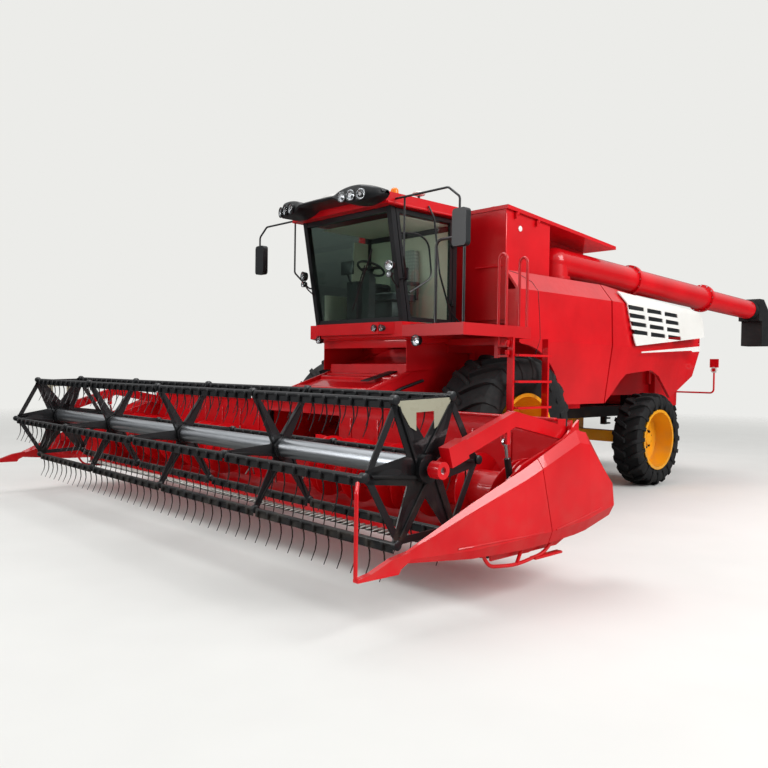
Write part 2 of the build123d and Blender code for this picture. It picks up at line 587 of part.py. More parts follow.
def make_lids():
    """Two roof lids that meet on the centre line and hinge on the tank's long sides."""
    front, rear = TANK_FRONT - 15, TANK_REAR + 60
    z0, z1 = tank_top(front) + 2, tank_top(rear) + 2
    for side, word in ((LEFT, "left"), (RIGHT, "right")):
        lid = side_plate([(front, z0), (rear, z1), (rear, z1 + LID_T), (front, z0 + LID_T)],
                         side * LID_GAP / 2, side * (TANK_X + 36))
        x = side * (TANK_X + LID_PIN_OUT)
        for y in LID_HINGE_Y[side]:
            at = y + 22
            turn = Pos(x, at, lid_pin_z(at)) * Rot(90 + lid_slope(), 0, 0)
            lid += turn * Cylinder(14, 40)
            lid += block(x - 14, x + 14, at - 19, at + 19, lid_pin_z(at), tank_top(at) + 6)
            lid -= turn * Cylinder(LID_PIN_R + RUN, 90)
        save(f"tank_lid_{word}", lid)


def make_engine():
    """Engine as one plain block, and the hood over its bay."""
    half, front, rear, z0, z1 = ENGINE
    feet = block(-half + 60, half - 60, front + 100, rear - 100, BAY_TOP, z0)
    save("engine_block", block(-half, half, front, rear, z0, z1) + feet)
    front, rear, wide = BAY_FRONT, BODY_REAR, HOOD_X
    outer = [(front, BAY_TOP), (front, HOOD_Z), (HOOD_KNEE_Y, HOOD_Z), (rear, HOOD_REAR_Z),
             (rear, BAY_TOP)]
    inner = [(front + SHEET, BAY_TOP), (front + SHEET, HOOD_Z - SHEET), (HOOD_KNEE_Y - 10, HOOD_Z - SHEET),
             (rear - SHEET, HOOD_REAR_Z - SHEET), (rear - SHEET, BAY_TOP)]
    hood = side_plate(outer, -wide, wide) - side_plate(inner, -wide + SHEET, wide - SHEET)
    save("engine_hood", hood)


def make_straw_hood():
    """Hood over the straw outlet with the chopper under it, open at the bottom."""
    front, wide, rear = BODY_REAR, STRAW_X, STRAW_REAR
    outer = [(front, STRAW_Z), (front, STRAW_TOP), (rear - 310, STRAW_TOP - 60), (rear, STRAW_WAIST_Z),
             (rear - 30, STRAW_Z)]
    low = STRAW_Z - 40
    inner = [(front + SHEET, low), (front + SHEET, STRAW_TOP - SHEET),
             (rear - 320, STRAW_TOP - 60 - SHEET), (rear - SHEET, STRAW_WAIST_Z), (rear - 30 - SHEET, low)]
    hood = side_plate(outer, -wide, wide) - side_plate(inner, -wide + SHEET, wide - SHEET)
    save("straw_hood", hood)
    low = CHOPPER_LOW_Z
    chopper = side_plate([(front + 60, low + 30), (front + 60, STRAW_Z), (rear - 60, STRAW_Z),
                          (rear, low + 130), (rear - 250, low)], -wide, wide)
    tail = side_plate([(rear - 8, low + 136), (rear + 230, low - 30), (rear + 218, low - 46),
                       (rear - 20, low + 116)], -wide + 100, wide - 100)
    save("straw_chopper", chopper + tail)
    x, y, arm_z, lamp_z = REAR_LAMP
    lamp = bent_tube([(wide, y, arm_z), (x, y, arm_z), (x, y, lamp_z)], 14, 60)
    lamp += block(x - 70, x + 70, y - 10, y + 10, lamp_z - 5, lamp_z + 135)
    lamp += round_y(45, y - 18, y + 18, x, lamp_z - 45)
    save("rear_lamps", *both(lamp))


# ---------------------------------------------------------------- unloading tube
def tube_frame():
    """Plane at the elbow whose Z runs along the unloading tube."""
    direction = Vector(*TUBE_END) - Vector(*TUBE_PIVOT)
    return Plane(origin=TUBE_PIVOT, x_dir=(1, 0, 0), z_dir=direction.normalized())


def make_unloading_tube():
    """Fixed elbow stub beside the tank, and the tube that swings on it with its rubber spout."""
    x, y, z = TUBE_PIVOT
    stub = round_z(ELBOW_R, ELBOW_Z0, ELBOW_SPLIT - 2, x, y)
    stub += round_z(ELBOW_R + 30, ELBOW_SPLIT - 42, ELBOW_SPLIT - 2, x, y)
    stub -= round_z(ELBOW_R - ELBOW_T, ELBOW_Z0 - 10, ELBOW_SPLIT + 10, x, y)
    stub += block(TANK_RECESS_X, x - ELBOW_R + 12, y - 60, y + 60, 2500, 2560)
    stub += round_z(SWIVEL_R, ELBOW_SPLIT - 140, ELBOW_SPLIT + 50, x, y)
    stub += block(x - ELBOW_R + 4, x + ELBOW_R - 4, y - 8, y + 8, ELBOW_SPLIT - 140, ELBOW_SPLIT - 110)
    save("unloading_elbow", stub)
    frame = tube_frame()
    outer = round_z(ELBOW_R, ELBOW_SPLIT, z, x, y) + Pos(x, y, z) * Sphere(ELBOW_R + 6)
    outer += round_z(ELBOW_R + 30, ELBOW_SPLIT, ELBOW_SPLIT + 40, x, y)
    inner = round_z(ELBOW_R - ELBOW_T, ELBOW_SPLIT - 10, z, x, y) + Pos(x, y, z) * Sphere(ELBOW_R - 4)
    for start, end, radius in TUBE_SECTIONS:
        outer += frame * Pos(0, 0, (start + end) / 2) * Cylinder(radius, end - start)
        inner += frame * Pos(0, 0, (start + end) / 2) * Cylinder(radius - TUBE_T, end - start + 2)
    for start, _, _ in TUBE_SECTIONS[1:]:
        outer += frame * Pos(0, 0, start) * Cylinder(FLANGE_R, FLANGE_T)
    tube = outer - inner
    hub = round_z(34, ELBOW_SPLIT + 6, ELBOW_SPLIT + 46, x, y)
    hub += block(x - ELBOW_R + 4, x + ELBOW_R - 4, y - 8, y + 8, ELBOW_SPLIT + 16, ELBOW_SPLIT + 46)
    hub -= round_z(SWIVEL_R + RUN, ELBOW_SPLIT - 10, ELBOW_SPLIT + 60, x, y)
    save("unloading_tube", tube + hub)
    save("tube_spout", make_spout())


def make_spout():
    """Rubber spout: a neck on the tube's end and a rectangular sleeve that bends down."""
    x, y, z = TUBE_END
    bore, wall = TUBE_SECTIONS[-1][2] + GAP, SPOUT_T
    half, top = bore + 16, z + bore + 30
    outline = [(y, top), (y + 200, top), (y + SPOUT_REACH, top - 230), (y + SPOUT_REACH, z - SPOUT_DROP),
               (y + 130, z - SPOUT_DROP), (y + 130, z - bore - 30), (y, z - bore - 30)]
    core = [(y + wall, top - wall), (y + 195, top - wall), (y + SPOUT_REACH - wall, top - 236),
            (y + SPOUT_REACH - wall, z - SPOUT_DROP - 10), (y + 130 + wall, z - SPOUT_DROP - 10),
            (y + 130 + wall, z - bore - 30 + wall), (y + wall, z - bore - 30 + wall)]
    sleeve = side_plate(outline, x - half, x + half) - side_plate(core, x - half + wall, x + half - wall)
    end = TUBE_SECTIONS[-1][1]
    frame = tube_frame()
    sleeve += frame * Pos(0, 0, end - 10) * Cylinder(bore + wall, 120)
    return sleeve - frame * Pos(0, 0, end - 10) * Cylinder(bore, 190)


# ---------------------------------------------------------------- cab
def screen_y(z):
    """Y of the raked windscreen's outer face at height z."""
    share = (z - CAB_FLOOR_Z) / (CAB_ROOF_Z - CAB_FLOOR_Z)
    return SCREEN_LOW_Y + (SCREEN_TOP_Y - SCREEN_LOW_Y) * share


def raked(y_low, y_top, depth, x0, x1):
    """Post that leans with the windscreen, from the cab's floor to its roof."""
    return side_plate([(y_low, CAB_FLOOR_Z), (y_low + depth, CAB_FLOOR_Z),
                       (y_top + depth, CAB_ROOF_Z), (y_top, CAB_ROOF_Z)], x0, x1)


def make_cab_shell():
    """Cab floor with its front fascia, the posts with the rear wall, and the roof."""
    floor = side_plate([(PLATFORM_FRONT, CAB_BOTTOM_Z + 60), (PLATFORM_FRONT, CAB_FLOOR_Z),
                        (CAB_REAR, CAB_FLOOR_Z), (CAB_REAR, CAB_BOTTOM_Z),
                        (PLATFORM_FRONT + 300, CAB_BOTTOM_Z)],
                       -CAB_X - 40, CAB_X + 40)
    nose = floor_plate([(-720, PLATFORM_FRONT + 1), (-560, PLATFORM_FRONT - 110),
                        (560, PLATFORM_FRONT - 110), (720, PLATFORM_FRONT + 1)],
                       CAB_FLOOR_Z - 140, CAB_FLOOR_Z - 5)
    mount_feet = Part()
    for side in (LEFT, RIGHT):
        mount_feet += block(side * (FEEDER_X + 15), side * (BODY_X - 5), CAB_REAR - 120, BODY_FRONT,
                            CAB_BOTTOM_Z - 100, CAB_BOTTOM_Z)
    save("cab_floor", floor + nose + mount_feet)
    frame = Part()
    for side in (LEFT, RIGHT):
        frame += raked(SCREEN_LOW_Y, SCREEN_TOP_Y, POST, side * (CAB_X - POST), side * CAB_X)
        frame += block(side * (CAB_X - POST), side * CAB_X, CAB_REAR - POST, CAB_REAR, CAB_FLOOR_Z,
                       CAB_ROOF_Z)
    inner = CAB_X - POST
    frame += block(-inner, inner, SCREEN_TOP_Y + 12, SCREEN_TOP_Y + POST, CAB_ROOF_Z - SILL_H, CAB_ROOF_Z)
    frame += block(-inner, inner, SCREEN_LOW_Y + 2, SCREEN_LOW_Y + POST, CAB_FLOOR_Z, CAB_FLOOR_Z + SILL_H)
    wall = block(-inner, inner, CAB_REAR - 30, CAB_REAR, CAB_FLOOR_Z, CAB_ROOF_Z)
    half, low, high = REAR_WINDOW
    wall -= block(-half, half, CAB_REAR - 60, CAB_REAR + 10, low, high)
    right_sill = block(-CAB_X, -inner, SCREEN_LOW_Y + POST / 2, CAB_REAR - POST, CAB_FLOOR_Z,
                       CAB_FLOOR_Z + SILL_H)
    frame += wall + right_sill
    x, y = CAB_X + DOOR_PIN_OUT, DOOR_HINGE_Y
    for z in DOOR_HINGE_Z:
        frame += block(CAB_X - 20, x + 12, y + 22, y + 60, z - 48, z - 24)
        frame += block(x - 12, x + 12, y, y + 30, z - 48, z - 24) + round_z(12, z - 48, z - 24, x, y)
        frame += round_z(DOOR_PIN_R, z - 48, z + 24, x, y)
    save("cab_frame", frame)
    save("cab_roof", block(-ROOF_X, ROOF_X, ROOF_FRONT, ROOF_REAR, CAB_ROOF_Z, CAB_ROOF_Z + ROOF_T))
    plan = [(ROOF_X + 20, 0), (ROOF_X + 60, 110), (700, 280), (300, 330)]
    left = [(x, ROOF_FRONT - ahead) for x, ahead in plan]
    right = [(-x, y) for x, y in left[::-1]]
    save("roof_visor", floor_plate(left + right, CAB_ROOF_Z + 40, CAB_ROOF_Z + ROOF_T + 60))


def door_outline(inset):
    """(Y, Z) outline of the left door, moved in by inset."""
    z0, z1 = CAB_FLOOR_Z + FIT + 10 + inset, CAB_ROOF_Z - FIT - 10 - inset
    rear = DOOR_HINGE_Y + 14 - inset
    front = POST + FIT + 6 + inset
    return [(screen_y(z0) + front, z0), (screen_y(z1) + front, z1), (rear, z1), (rear, z0)]


def make_door():
    """Left cab door: frame and pane, hinged on the rear post."""
    x0 = CAB_X - DOOR_T
    frame = side_plate(door_outline(0), x0, CAB_X)
    frame -= side_plate(door_outline(DOOR_FRAME), x0 - 5, CAB_X + 5)
    x, y = CAB_X + DOOR_PIN_OUT, DOOR_HINGE_Y
    for z in DOOR_HINGE_Z:
        frame += round_z(16, z - 22, z + 22, x, y) + block(CAB_X - 10, x, y - 40, y, z - 22, z + 22)
        frame -= round_z(DOOR_PIN_R + RUN, z - 30, z + 40, x, y)
    handle_z = 2760.0
    handle_y = screen_y(handle_z) + POST + FIT + 30
    for low in (-70, 50):
        frame += block(CAB_X - 5, CAB_X + 40, handle_y, handle_y + 22, handle_z + low, handle_z + low + 20)
    frame += block(CAB_X + 25, CAB_X + 40, handle_y, handle_y + 22, handle_z - 70, handle_z + 70)
    save("cab_door", frame)
    pane = side_plate(door_outline(DOOR_FRAME), x0 + 15, x0 + 15 + GLASS_T)
    save("door_glass", pane)


def make_cab_glass():
    """Windscreen, right side pane and rear pane."""
    low, high = CAB_FLOOR_Z + SILL_H, CAB_ROOF_Z - SILL_H
    screen = side_plate([(screen_y(low) + 30, low), (screen_y(low) + 30 + GLASS_T, low),
                         (screen_y(high) + 30 + GLASS_T, high), (screen_y(high) + 30, high)],
                        -CAB_X + POST, CAB_X - POST)
    x = -CAB_X + 30
    side = side_plate([(screen_y(low) + POST, low), (screen_y(CAB_ROOF_Z) + POST, CAB_ROOF_Z),
                       (CAB_REAR - POST, CAB_ROOF_Z), (CAB_REAR - POST, low)], x, x + GLASS_T)
    half, z0, z1 = REAR_WINDOW
    rear = block(-half, half, CAB_REAR - 20, CAB_REAR - 20 + GLASS_T, z0, z1)
    save("cab_glass", screen, side, rear)


def make_cab_inside():
    """Driver's seat, and the driver's controls: steering column with its wheel, and side console."""
    z = CAB_FLOOR_Z
    base = block(-170, 170, -720, -400, z, z + 300)
    cushion = block(-240, 240, -790, -350, z + 300, z + 420)
    back = side_plate([(-400, z + 420), (-300, z + 420), (-285, z + 1000), (-370, z + 1000)], -225, 225)
    save("driver_seat", base + fillet(cushion.edges().filter_by(Axis.Z), 60) + back)
    column = side_plate([(-1020, z), (-900, z), (-900, z + 560), (-960, z + 660), (-1000, z + 640)], -60, 60)
    tilt = Pos(0, -925, z + 690) * Rot(-25, 0, 0)
    wheel = tilt * Torus(170, 15) + tilt * (Box(330, 40, 16) + Cylinder(45, 40))
    shaft = bar((0, -950, z + 580), (0, -925, z + 690), 22)
    console = block(-480, -290, -900, -360, z, z + 560)
    save("driver_controls", column + shaft + wheel, console)


# ---------------------------------------------------------------- platform, ladder, mirrors
def make_platform():
    """Platform beside the cab with its guard rails and the bracket for the ladder."""
    x0 = CAB_X + 40
    z1 = CAB_FLOOR_Z - 40
    deck = block(x0, PLATFORM_X, PLATFORM_FRONT, PLATFORM_REAR, z1 - PLATFORM_T, z1)
    deck -= block(x0 + 30, PLATFORM_X - 30, PLATFORM_FRONT + 30, PLATFORM_REAR - 30,
                  z1 - PLATFORM_T - 5, z1 - 30)
    brace = block(x0, PLATFORM_X - 120, -420, -320, z1 - PLATFORM_T - 80, z1 - PLATFORM_T)
    x, y, low = PLATFORM_X - 40, PLATFORM_FRONT + 40, z1 - 5
    rails = bent_tube([(x, y, low), (x, y, z1 + 900), (FRONT_RAIL_X, y, z1 + 900), (FRONT_RAIL_X, y, low)],
                      RAIL_R, 80)
    for y in (LADDER_FRONT + 60, PLATFORM_REAR - 30):
        rails += bent_tube([(x - 110, y, low), (x - 110, y, z1 + 800), (x, y, z1 + 800), (x, y, low)],
                           RAIL_R, 60)
    x, y = LADDER_X + 2, LADDER_FRONT - 30
    lugs = Part()
    for z in LADDER_HINGE_Z:
        lugs += block(PLATFORM_X - 70, x + 12, y - 18, y + 16, z - 50, z - 26)
        lugs += round_z(LADDER_PIN_R, z - 50, z + 24, x, y)
    post = block(PLATFORM_X - 110, PLATFORM_X - 60, y - 20, y + 20, LADDER_HINGE_Z[0] - 60, z1 - 28)
    save("platform", deck + brace + rails + lugs + post)


def make_ladder():
    """Ladder with its stringers, steps and hinge knuckles."""
    x0, x1 = LADDER_X - 20, LADDER_X + 60
    ladder = Part()
    for y in (LADDER_FRONT, LADDER_REAR - LADDER_T):
        ladder += block(x0, x1, y, y + LADDER_T, LADDER_LOW, LADDER_TOP)
    steps = int((LADDER_TOP - LADDER_LOW - 100) // LADDER_STEP) + 1
    for index in range(steps):
        z = LADDER_LOW + 60 + index * LADDER_STEP
        ladder += block(x0, x1 + 60, LADDER_FRONT + LADDER_T, LADDER_REAR - LADDER_T, z, z + 25)
    x, y = LADDER_X + 2, LADDER_FRONT - 30
    for z in LADDER_HINGE_Z:
        ladder += round_z(26, z - 24, z + 24, x, y)
        ladder += block(x - 12, x + 12, y, LADDER_FRONT + 5, z - 24, z + 24)
        ladder -= round_z(LADDER_PIN_R + RUN, z - 30, z + 40, x, y)
    save("ladder", ladder)


def make_mirrors():
    """Mirrors on bent arms from the roof's front corners, and the guard tubes beside the screen."""
    y, z = MIRROR_Y, CAB_ROOF_Z + ROOF_T / 2
    low, high = MIRROR_Z
    arm = bent_tube([(ROOF_X, y, z), (MIRROR_X - 160, y, z), (MIRROR_X, y, z - 120),
                     (MIRROR_X, y, high - 10)], 12, 60)
    low_y = screen_y(2700) + POST / 2
    arm += bent_tube([(CAB_X, low_y, 2700), (CAB_X + 90, low_y, 2700), (CAB_X + 200, y, 2900),
                      (CAB_X + 200, y, z)], 11, 60)
    head = block(MIRROR_X - MIRROR_HALF, MIRROR_X + MIRROR_HALF, y - 10, y + 65, low, high)
    save("mirrors", *both(arm + fillet(head.edges().filter_by(Axis.Y), 40)))


def make_lamps():
    """Work lamps under the visor; beacon, aerial and dome on the roof."""
    lamps = []
    for side in (LEFT, RIGHT):
        for index in range(3):
            x = side * (VISOR_LAMP_X + index * VISOR_LAMP_STEP)
            y = ROOF_FRONT - 260 + index * 45
            stem = block(x - 18, x + 18, y + 5, y + 40, CAB_ROOF_Z - 12, CAB_ROOF_Z + 40)
            lamps.append(round_y(VISOR_LAMP_R, y, y + 60, x, CAB_ROOF_Z - 12) + stem)
    z = CAB_ROOF_Z + ROOF_T
    beacon = round_z(45, z, z + 150, 560, -1080)
    aerial = round_z(14, z, z + 110, 640, -760) + round_z(75, z + 110, z + 150, 640, -760)
    dome = round_z(130, z, z + 70, 0, -1150)
    save("roof_lamps", *lamps, beacon, aerial, dome)


# ---------------------------------------------------------------- feeder and header
def make_feeder():
    """Feeder house on its pivot, with the lugs for the lift cylinders' rods."""
    rear, rear_low, rear_high = FEEDER_ROOT
    low, high = FEEDER_MOUTH
    front, wide, skin = FEEDER_FRONT, FEEDER_X, 30
    outer = [(rear, rear_high), (front, high), (front, low), (rear, rear_low)]
    inner = [(rear + 5, rear_high - 25), (front - 5, high - skin), (front - 5, low + skin),
             (rear + 5, rear_low + 25)]
    house = side_plate(outer, -wide, wide) - side_plate(inner, -wide + FEEDER_T, wide - FEEDER_T)
    plate = block(-wide - 120, wide + 120, front, front + 40, low - 50, high + 10)
    plate -= block(-wide + FEEDER_T, wide - FEEDER_T, front - 5, front + 45, low + skin, high - skin)
    house += plate
    eye_y, eye_z = LIFT_CYL["eye"]
    for side in (LEFT, RIGHT):
        x = LIFT_CYL["x"]
        for x0 in (x - 66, x + 40):
            house += side_plate([(eye_y - 40, eye_z - 35), (eye_y + 40, eye_z - 35),
                                 (eye_y + 90, eye_z + 170), (eye_y - 90, eye_z + 90)],
                                side * x0, side * (x0 + 26))
        house += round_x(LIFT_CYL["pin"], side * (x - 66), side * (x + 66), eye_y, eye_z)
    return house


def make_feeder_house():
    """Feeder house and the pivot ears that hang it on the threshing body."""
    y, z = LIFT_PIVOT
    house = make_feeder()
    for side in (LEFT, RIGHT):
        house += side_plate([(60, 1500), (y + 20, z - 60), (y + 45, z), (y + 20, z + 60), (60, 1900)],
                            side * (FEEDER_X - 20), side * FEEDER_X)
        house -= round_x(FEEDER_PIN_R + RUN, side * (FEEDER_X - 40), side * (FEEDER_X + 30), y, z)
    return house


def reel_ears():
    """X of the inner and outer ear of a reel arm's pivot, at the faces towards the arm."""
    return REEL_ARM_X - REEL_ARM_W / 2 - 8, REEL_ARM_X + REEL_ARM_W / 2 + 8


def make_trough():
    """Header trough: back wall with its top beam, floor, end plates and skid shoes."""
    face = HEADER_BACK - TROUGH_T
    profile = [(KNIFE_Y, HEADER_FLOOR), (-2500, HEADER_FLOOR - 10), (-2150, HEADER_FLOOR + 40),
               (face, HEADER_FLOOR + 260), (face, HEADER_TOP), (HEADER_BACK, HEADER_TOP),
               (HEADER_BACK, HEADER_FLOOR + 250), (-2135, HEADER_FLOOR + 20), (-2500, HEADER_FLOOR - 35),
               (KNIFE_Y, HEADER_FLOOR - 20)]
    trough = side_plate(profile, -TROUGH_X, TROUGH_X)
    for side in (LEFT, RIGHT):
        inner, outer = reel_ears()
        trough -= block(side * inner, side * outer, HEADER_BACK - 50, HEADER_BACK + 50, REEL_NOTCH_Z, 2000)
    inner_ear = reel_ears()[0]
    trough += block(-inner_ear, inner_ear, HEADER_BACK, HEADER_BACK + 90, HEADER_TOP - 110, HEADER_TOP)
    trough += block(-TROUGH_X, TROUGH_X, HEADER_BACK, HEADER_BACK + 90, 560, 660)
    mouth = FEEDER_X - FEEDER_T
    trough -= block(-mouth, mouth, HEADER_BACK - 60, HEADER_BACK + 200, 662, 1170)
    for side in (LEFT, RIGHT):
        trough += side_plate([(KNIFE_Y - 60, HEADER_FLOOR - 30), (KNIFE_Y - 60, 760), (-2600, 980),
                              (-2060, 1150), (HEADER_BACK + 90, HEADER_TOP), (HEADER_BACK + 90, 420),
                              (-2140, HEADER_FLOOR - 30)],
                             side * (TROUGH_X - 20), side * TROUGH_X)
        ear_y, ear_z = REEL_ARM_PIVOT
        for x in (reel_ears()[0] - REEL_EAR_T, reel_ears()[1]):
            trough += side_plate([(HEADER_BACK - 5, REEL_NOTCH_Z), (HEADER_BACK + 20, REEL_NOTCH_Z - 120),
                                  (ear_y + 50, ear_z - 60), (ear_y + 50, ear_z + 40),
                                  (ear_y + 10, ear_z + 60), (HEADER_BACK - 5, ear_z + 60)],
                                 side * x, side * (x + REEL_EAR_T))
        trough += round_x(REEL_PIVOT_R, side * (REEL_ARM_X - 60), side * (REEL_ARM_X + 60), ear_y, ear_z)
        trough += round_x(REEL_CYL["pin"], side * (REEL_CYL["x"] - 40), side * (TROUGH_X - 10),
                          *REEL_CYL["base"])
        for x in SKID_X:
            trough += side_plate([(-2840, HEADER_FLOOR - 22), (-2780, SKID_Z), (-2420, SKID_Z),
                                  (-2300, HEADER_FLOOR - 12), (-2500, HEADER_FLOOR - 30)],
                                 side * (x - 90), side * (x + 90))
    return trough


def make_header():
    """Trough with the knife in front, and the plate that hooks it on the feeder house."""
    trough = make_trough()
    hooks = Part()
    for side in (LEFT, RIGHT):
        hooks += block(side * (FEEDER_X - 10), side * (FEEDER_X + 90), HEADER_BACK + 80, FEEDER_FRONT, 700,
                       HEADER_TOP - 20)
    save("header_trough", trough + hooks)
    knife = block(-TROUGH_X + 25, TROUGH_X - 25, KNIFE_Y - 70, KNIFE_Y, HEADER_FLOOR - KNIFE_T, HEADER_FLOOR)
    first = -TROUGH_X + 60
    guards = []
    for index in range(GUARDS):
        x = first - 2 * first * index / (GUARDS - 1)
        guards.append(side_plate([(KNIFE_Y - 69, HEADER_FLOOR - KNIFE_T), (KNIFE_Y - 69, HEADER_FLOOR + 6),
                                  (KNIFE_Y - FINGER_REACH, HEADER_FLOOR - 2),
                                  (KNIFE_Y - FINGER_REACH, HEADER_FLOOR - 8)],
                                 x - GUARD_W / 2, x + GUARD_W / 2))
    save("knife_bar", knife + guards)


def shield_section(y, bottom, crease, top, width):
    """Cross section of the end shield at y: flat inside, creased and leaning outside."""
    x0 = TROUGH_X
    x1 = x0 + width
    ridge = top - 0.12 * (top - bottom)
    points = [(x0, y, bottom), (x0 + 0.7 * width, y, bottom), (x1, y, crease), (x1 - 0.12 * width, y, ridge),
              (x1 - 0.35 * width, y, top), (x0, y, top - 0.3 * (top - bottom))]
    return make_face(Polyline(*points, close=True))


def make_end_shields():
    """Pointed end shields, each in two parts with a slanted seam, a snout shoe and a divider rod."""
    solid = loft([shield_section(*row) for row in SHIELD_SECTIONS], ruled=True)
    (top_y, top_z), (low_y, low_z) = SHIELD_SEAM
    seam = side_plate([(top_y - 4, top_z), (top_y + 4, top_z), (low_y + 4, low_z), (low_y - 4, low_z)],
                      TROUGH_X - 60, TROUGH_X + 240)
    x = TROUGH_X + 22
    low, high = DIVIDER_Z
    snout = side_plate([(-3800, 470), (-3800, 525), (-3960, 500), (-4130, 440), (DIVIDER_Y, low + 7),
                        (DIVIDER_Y, low - 13), (-3900, 400), (-3880, 430)], x - 22, x + 22)
    rod = bent_tube([(x, DIVIDER_Y + 40, low), (x, DIVIDER_Y, low), (x, DIVIDER_Y, high),
                     (x - 60, DIVIDER_Y + 60, high + 45)], DIVIDER_R, 20)
    parts = (solid + snout + rod - seam).solids()
    save("end_shields", *[mirror_side(piece, side) for side in (LEFT, RIGHT) for piece in parts])


def make_auger():
    """Intake auger: a drum with flight rings on a shaft between the trough's end plates."""
    auger = round_x(AUGER_TUBE_R, -AUGER_X, AUGER_X, AUGER_Y, AUGER_Z)
    for step in range(FLIGHTS):
        x = AUGER_X - 60 - step * FLIGHT_STEP
        auger += both(round_x(AUGER_R, x - FLIGHT_T / 2, x + FLIGHT_T / 2, AUGER_Y, AUGER_Z))
    reach = TROUGH_X - TROUGH_T - GAP
    auger += round_x(AUGER_SHAFT_R, -reach, reach, AUGER_Y, AUGER_Z)
    save("intake_auger", auger)


# ---------------------------------------------------------------- reel
def arm_outline(start, end, height, reach=0.0):
    """(Y, Z) corners of a straight bar of the given height."""
    dy, dz = end[0] - start[0], end[1] - start[1]
    length = hypot(dy, dz)
    uy, uz = dy / length, dz / length
    h = height / 2
    tip = (end[0] + uy * reach, end[1] + uz * reach)
    return [(start[0] - uz * h, start[1] + uy * h), (start[0] + uz * h, start[1] - uy * h),
            (tip[0] + uz * h, tip[1] - uy * h), (tip[0] - uz * h, tip[1] + uy * h)]


def make_reel_arms():
    """Bent arms that carry the reel, with the guide bars on which its carriers slide."""
    arms = []
    for side in (LEFT, RIGHT):
        x0, x1 = side * (REEL_ARM_X - REEL_ARM_W / 2), side * (REEL_ARM_X + REEL_ARM_W / 2)
        arm = side_plate(arm_outline(REEL_ARM_PIVOT, REEL_ARM_BEND, REEL_ARM_H, 22), x0, x1)
        arm += side_plate(arm_outline(REEL_ARM_FRONT, REEL_ARM_BEND, REEL_ARM_H, 10), x0, x1)
        arm += round_x(REEL_ARM_H / 2, x0, x1, *REEL_ARM_PIVOT)
        arm -= round_x(REEL_PIVOT_R + RUN, x0 - side * 5, x1 + side * 5, *REEL_ARM_PIVOT)
        y, z = REEL_CYL["eye"]
        x = side * REEL_CYL["x"]
        fork = Part()
        for low in (-31, 19):
            fork += side_plate([(y - 18, z - 16), (y + 18, z - 16), (y + 22, z + 110), (y - 22, z + 110)],
                               x + low, x + low + 12)
        arm += fork + round_x(REEL_CYL["pin"], x - 31, x + 31, y, z)
        arms.append(arm)
    save("reel_arms", *[arm + carrier for arm, carrier in zip(arms, make_carriers())])


def reel_tip(index):
    """(Y, Z) of a bat's axis."""
    angle = radians(BAT_ANGLE + index * 360 / BATS)
    return REEL_Y + REEL_R * cos(angle), REEL_Z + REEL_R * sin(angle)


def reel_spoke(index, x0, x1, root, tip):
    """One tapered spoke from the hub to a bat."""
    angle = radians(BAT_ANGLE + index * 360 / BATS)
    c, s = cos(angle), sin(angle)
    end = REEL_R - 4
    return side_plate([(REEL_Y - s * root, REEL_Z + c * root), (REEL_Y + s * root, REEL_Z - c * root),
                       (REEL_Y + c * end + s * tip, REEL_Z + s * end - c * tip),
                       (REEL_Y + c * end - s * tip, REEL_Z + s * end + c * tip)], x0, x1)


def station_x():
    """X of each spider, the outer two being the end plates."""
    return [-REEL_X + index * 2 * REEL_X / (REEL_STATIONS - 1) for index in range(REEL_STATIONS)]


def make_reel():
    """Reel tube with its spiders; the outer spiders carry a rim plate."""
    reel = round_x(REEL_TUBE_R, -REEL_X, REEL_X, REEL_Y, REEL_Z)
    reel += round_x(REEL_SHAFT_R, -REEL_X - 160, REEL_X + 160, REEL_Y, REEL_Z)
    for x in station_x():
        half = SPIDER_T / 2
        spider = round_x(REEL_HUB_R, x - half, x + half, REEL_Y, REEL_Z)
        for index in range(BATS):
            y, z = reel_tip(index)
            spider += reel_spoke(index, x - half, x + half, 46, 26)
            spider += round_x(34, x - half, x + half, y, z)
        if abs(x) > REEL_X - 1:
            tips = [reel_tip(index) for index in range(BATS)]
            ring = side_plate(tips, x - half, x + half)
            hole = [(REEL_Y + (y - REEL_Y) * RIM_PLATE, REEL_Z + (z - REEL_Z) * RIM_PLATE) for y, z in tips]
            spider += ring - side_plate(hole, x - 20, x + 20)
        for index in range(BATS):
            y, z = reel_tip(index)
            spider -= round_x(BAR_R + RUN, x - 20, x + 20, y, z)
        reel += spider
    save("reel", reel)


def make_bats():
    """Tine bars: each turns in the spiders' tips, with a bat strip hanging between them."""
    stations = station_x()
    for index in range(BATS):
        y, z = reel_tip(index)
        bat = round_x(BAR_R, -REEL_X - 15, REEL_X + 15, y, z)
        for left, right in zip(stations, stations[1:]):
            gap = SPIDER_T / 2 + BAT_SIDE_GAP
            bat += block(left + gap, right - gap, y - BAT_T / 2, y + BAT_T / 2, z - BAT_H, z - BAR_R + 3)
        save(f"tine_bar_{index + 1}", bat)


def make_carriers():
    """Carriers that clamp round the arms' front ends and hold the reel shaft."""
    x0, x1 = REEL_ARM_X - REEL_ARM_W / 2, REEL_ARM_X + REEL_ARM_W / 2
    front, rear = arm_point(-20), arm_point(160)
    sleeve = side_plate(arm_outline(rear, front, REEL_ARM_H + 34), x0 - 12, x1 + 12)
    hub = round_x(60, x0 - 12, x1 + 12, REEL_Y, REEL_Z)
    cheek = side_plate([(REEL_Y - 60, REEL_Z), (REEL_Y + 60, REEL_Z - 10), rear, (front[0] - 10, front[1])],
                       x0 - 12, x0)
    return both(sleeve + hub + cheek - round_x(REEL_SHAFT_R + RUN, x0 - 60, x1 + 60, REEL_Y, REEL_Z))


